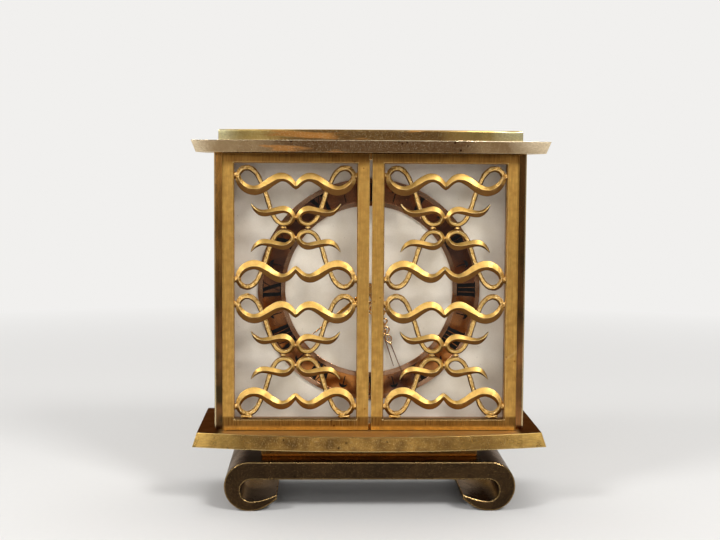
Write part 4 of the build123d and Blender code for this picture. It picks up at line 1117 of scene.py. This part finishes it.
def slottedScrews(node):
    shank, head, soft, gap = (screws[key] for key in ("shank", "head", "soft", "slotHalf"))
    places = []
    for low, high in islands(node):
        seat = high[1] - screws["headHeight"] * mm
        places.append(((low[0] + high[0]) / 2, (low[2] + high[2]) / 2, low[1], seat, high[1]))

    def build(shape):
        for number, (x, z, tip, seat, top) in enumerate(places):
            floor = seat + screws["slotFloor"] * mm
            profile = [(0, tip), (shank, tip), (shank, seat), (head, seat), (head, floor), (0, floor)]
            turned(shape, x, z, profile, segments=32)
            levels = (
                (floor - screws["sink"] * mm, head, gap), (top - soft * mm, head, gap),
                (top, head - soft, gap + screws["slotOpen"]),
            )
            for half in (0, math.pi):
                halfHead(shape, x, z, number * screws["turn"] + half, levels)

    # A thin dark disc on each slot's floor, as painted shade in the slot
    def slotShade(shape):
        for x, z, tip, seat, top in places:
            floor = seat + screws["slotFloor"] * mm
            shadeTop = floor + screws["dirt"] * mm
            profile = [(0, floor), (head - soft, floor), (head - soft, shadeTop), (0, shadeTop)]
            turned(shape, x, z, profile, segments=32)

    riding = ("case", slotOfNode[node], (node,))
    makePiece(node + "_slotted", build, "polishedSteel", *riding, smooth=35)
    makePiece(node + "_dirt", slotShade, "bronzeBrown", *riding, smooth=35)


def knurledKnob(node, body, flutes, depth):
    low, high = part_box(node)
    bottom, top = low[1], high[1]
    radius = (high[0] - low[0]) / 2 / mm
    soft, rim, dish, boss = (knobShape[key] for key in ("soft", "rim", "dish", "boss"))
    neck, grip = radius * knobShape["neckShare"], bottom + knobShape["neck"] * mm
    shoulder, floor = radius - soft, top - dish * mm
    profile = [
        (0, bottom), (neck, bottom), (neck, grip), (shoulder, grip), (radius, grip + soft * mm, depth),
        (radius, top - soft * mm, depth), (shoulder, top), (shoulder - rim, top),
        (shoulder - rim - dish, floor), (boss + dish, floor), (boss, top), (0, top),
    ]

    def build(shape):
        middleX, middleZ = (low[0] + high[0]) / 2, (low[2] + high[2]) / 2
        turned(shape, middleX, middleZ, profile, flutes, flutes * knobShape["fluteSteps"])

    makePiece(node + "_knurled", build, "satinBrass", body, slotOfNode[node], (node,), smooth=50)


for node in screws["nodes"]:
    slottedScrews(node)
for node, (body, flutes, depth) in knobs.items():
    knurledKnob(node, body, flutes, depth)
print("screws and knobs made")


# Floor, background and lights
studio = {
    "floorColour": colour(0.70, 0.69, 0.675), "floorGrey": colour(0.5, 0.5, 0.5),
    "floorGrain": (300, 0.04),  # noise scale, and share of the grey
    "floorSurface": {"Roughness": 0.7, "Specular IOR Level": 0.2},
    "floorReach": 30.0, "floorDrop": 0.0002,  # just under the clock's feet
    "background": colour(0.88, 0.87, 0.855),
    "roomFront": colour(0.14, 0.135, 0.13),  # what polished faces see behind the camera
    "roomTurn": (-0.6, 0.5),  # from that dim room to the background
    "ambient": 0.45,
    "fadeFrom": 0.20, "fadeTo": 0.95,  # metres over which the floor turns into background
    "farFloor": 2.5,  # metres at which the floor mirrors like the room beyond it
}
softLights = (
    # name, place, watts, width, height
    ("keyLight", (0.62, -0.95, 0.95), 10.8, 0.36, 0.30),
    ("leftLight", (-0.85, -0.70, 0.85), 7.4, 0.36, 0.30),
    ("frontLight", (-0.10, -1.55, 0.62), 6.4, 1.3, 0.5),
    ("topLight", (0.05, 0.30, 1.05), 4.2, 0.9, 0.6),
)


# What a mirror sees in a direction: the pale background behind, a dim room in front
def mirroredRoom(tree, forward):
    behind = remap(tree, forward, *studio["roomTurn"])
    return blend(tree, behind, studio["roomFront"], studio["background"])


def makeFloor():
    reach = studio["floorReach"]
    mesh = bpy.data.meshes.new("floor")
    corners = [(-reach, -reach, 0), (reach, -reach, 0), (reach, reach, 0), (-reach, reach, 0)]
    mesh.from_pydata(corners, [], [(0, 1, 2, 3)])
    floor = bpy.data.objects.new("floor", mesh)
    scene.collection.objects.link(floor)
    floor.location.z = -studio["floorDrop"]
    material, tree, shader, place = startMaterial("paleFloor")
    scale, share = studio["floorGrain"]
    grain = remap(tree, noise(tree, place, scale, 3.0), *midNoise, 0.0, share)
    tint = blend(tree, grain, studio["floorColour"], studio["floorGrey"])
    fillSockets(tree, shader, {"Base Color": tint, **studio["floorSurface"]})
    distance = vectorMath(tree, "LENGTH", place)["Value"]
    far = remap(tree, distance, studio["fadeFrom"], studio["fadeTo"])
    forward = remap(tree, axisOf(tree, place, 1), -studio["farFloor"], studio["farFloor"], -1.0, 1.0)
    path = addNode(tree, "LightPath")
    camera = path.outputs["Is Camera Ray"]
    farColour = blend(tree, camera, mirroredRoom(tree, forward), studio["background"])
    glow = addNode(tree, "Emission", {"Color": farColour, "Strength": 1.0})
    share = product(tree, far, larger(tree, camera, path.outputs["Is Glossy Ray"]))
    mixed = addNode(tree, "MixShader", {0: share, 1: shader.outputs[0], 2: glow.outputs[0]})
    tree.links.new(mixed.outputs[0], tree.nodes["Material Output"].inputs[0])
    mesh.materials.append(material)


def makeWorld():
    world = bpy.data.worlds.new("studio")
    scene.world = world
    world.use_nodes = True
    tree = world.node_tree
    plain = tree.nodes["Background"]
    fillSockets(tree, plain, {"Color": studio["background"], "Strength": studio["ambient"]})
    mirrored = mirroredRoom(tree, axisOf(tree, addNode(tree, "TexCoord").outputs["Generated"], 1))
    path = addNode(tree, "LightPath")
    camera = larger(tree, path.outputs["Is Camera Ray"], path.outputs["Is Transmission Ray"])
    seenColour = blend(tree, camera, mirrored, studio["background"])
    seen = addNode(tree, "Background", {"Color": seenColour, "Strength": 1.0})
    anySeen = larger(tree, camera, path.outputs["Is Glossy Ray"])
    mixed = addNode(tree, "MixShader", {0: anySeen, 1: plain.outputs[0], 2: seen.outputs[0]})
    tree.links.new(mixed.outputs[0], tree.nodes["World Output"].inputs[0])


def makeLights():
    target = (cadLow + cadHigh) / 2
    for name, position, watts, width, height in softLights:
        data = bpy.data.lights.new(name, "AREA")
        data.shape = "RECTANGLE"
        data.energy, data.size, data.size_y = watts, width, height
        lamp = bpy.data.objects.new(name, data)
        scene.collection.objects.link(lamp)
        lamp.location = position
        lamp.rotation_euler = (target - Vector(position)).to_track_quat("-Z", "Y").to_euler()


makeFloor()
makeWorld()
makeLights()
print("studio made")
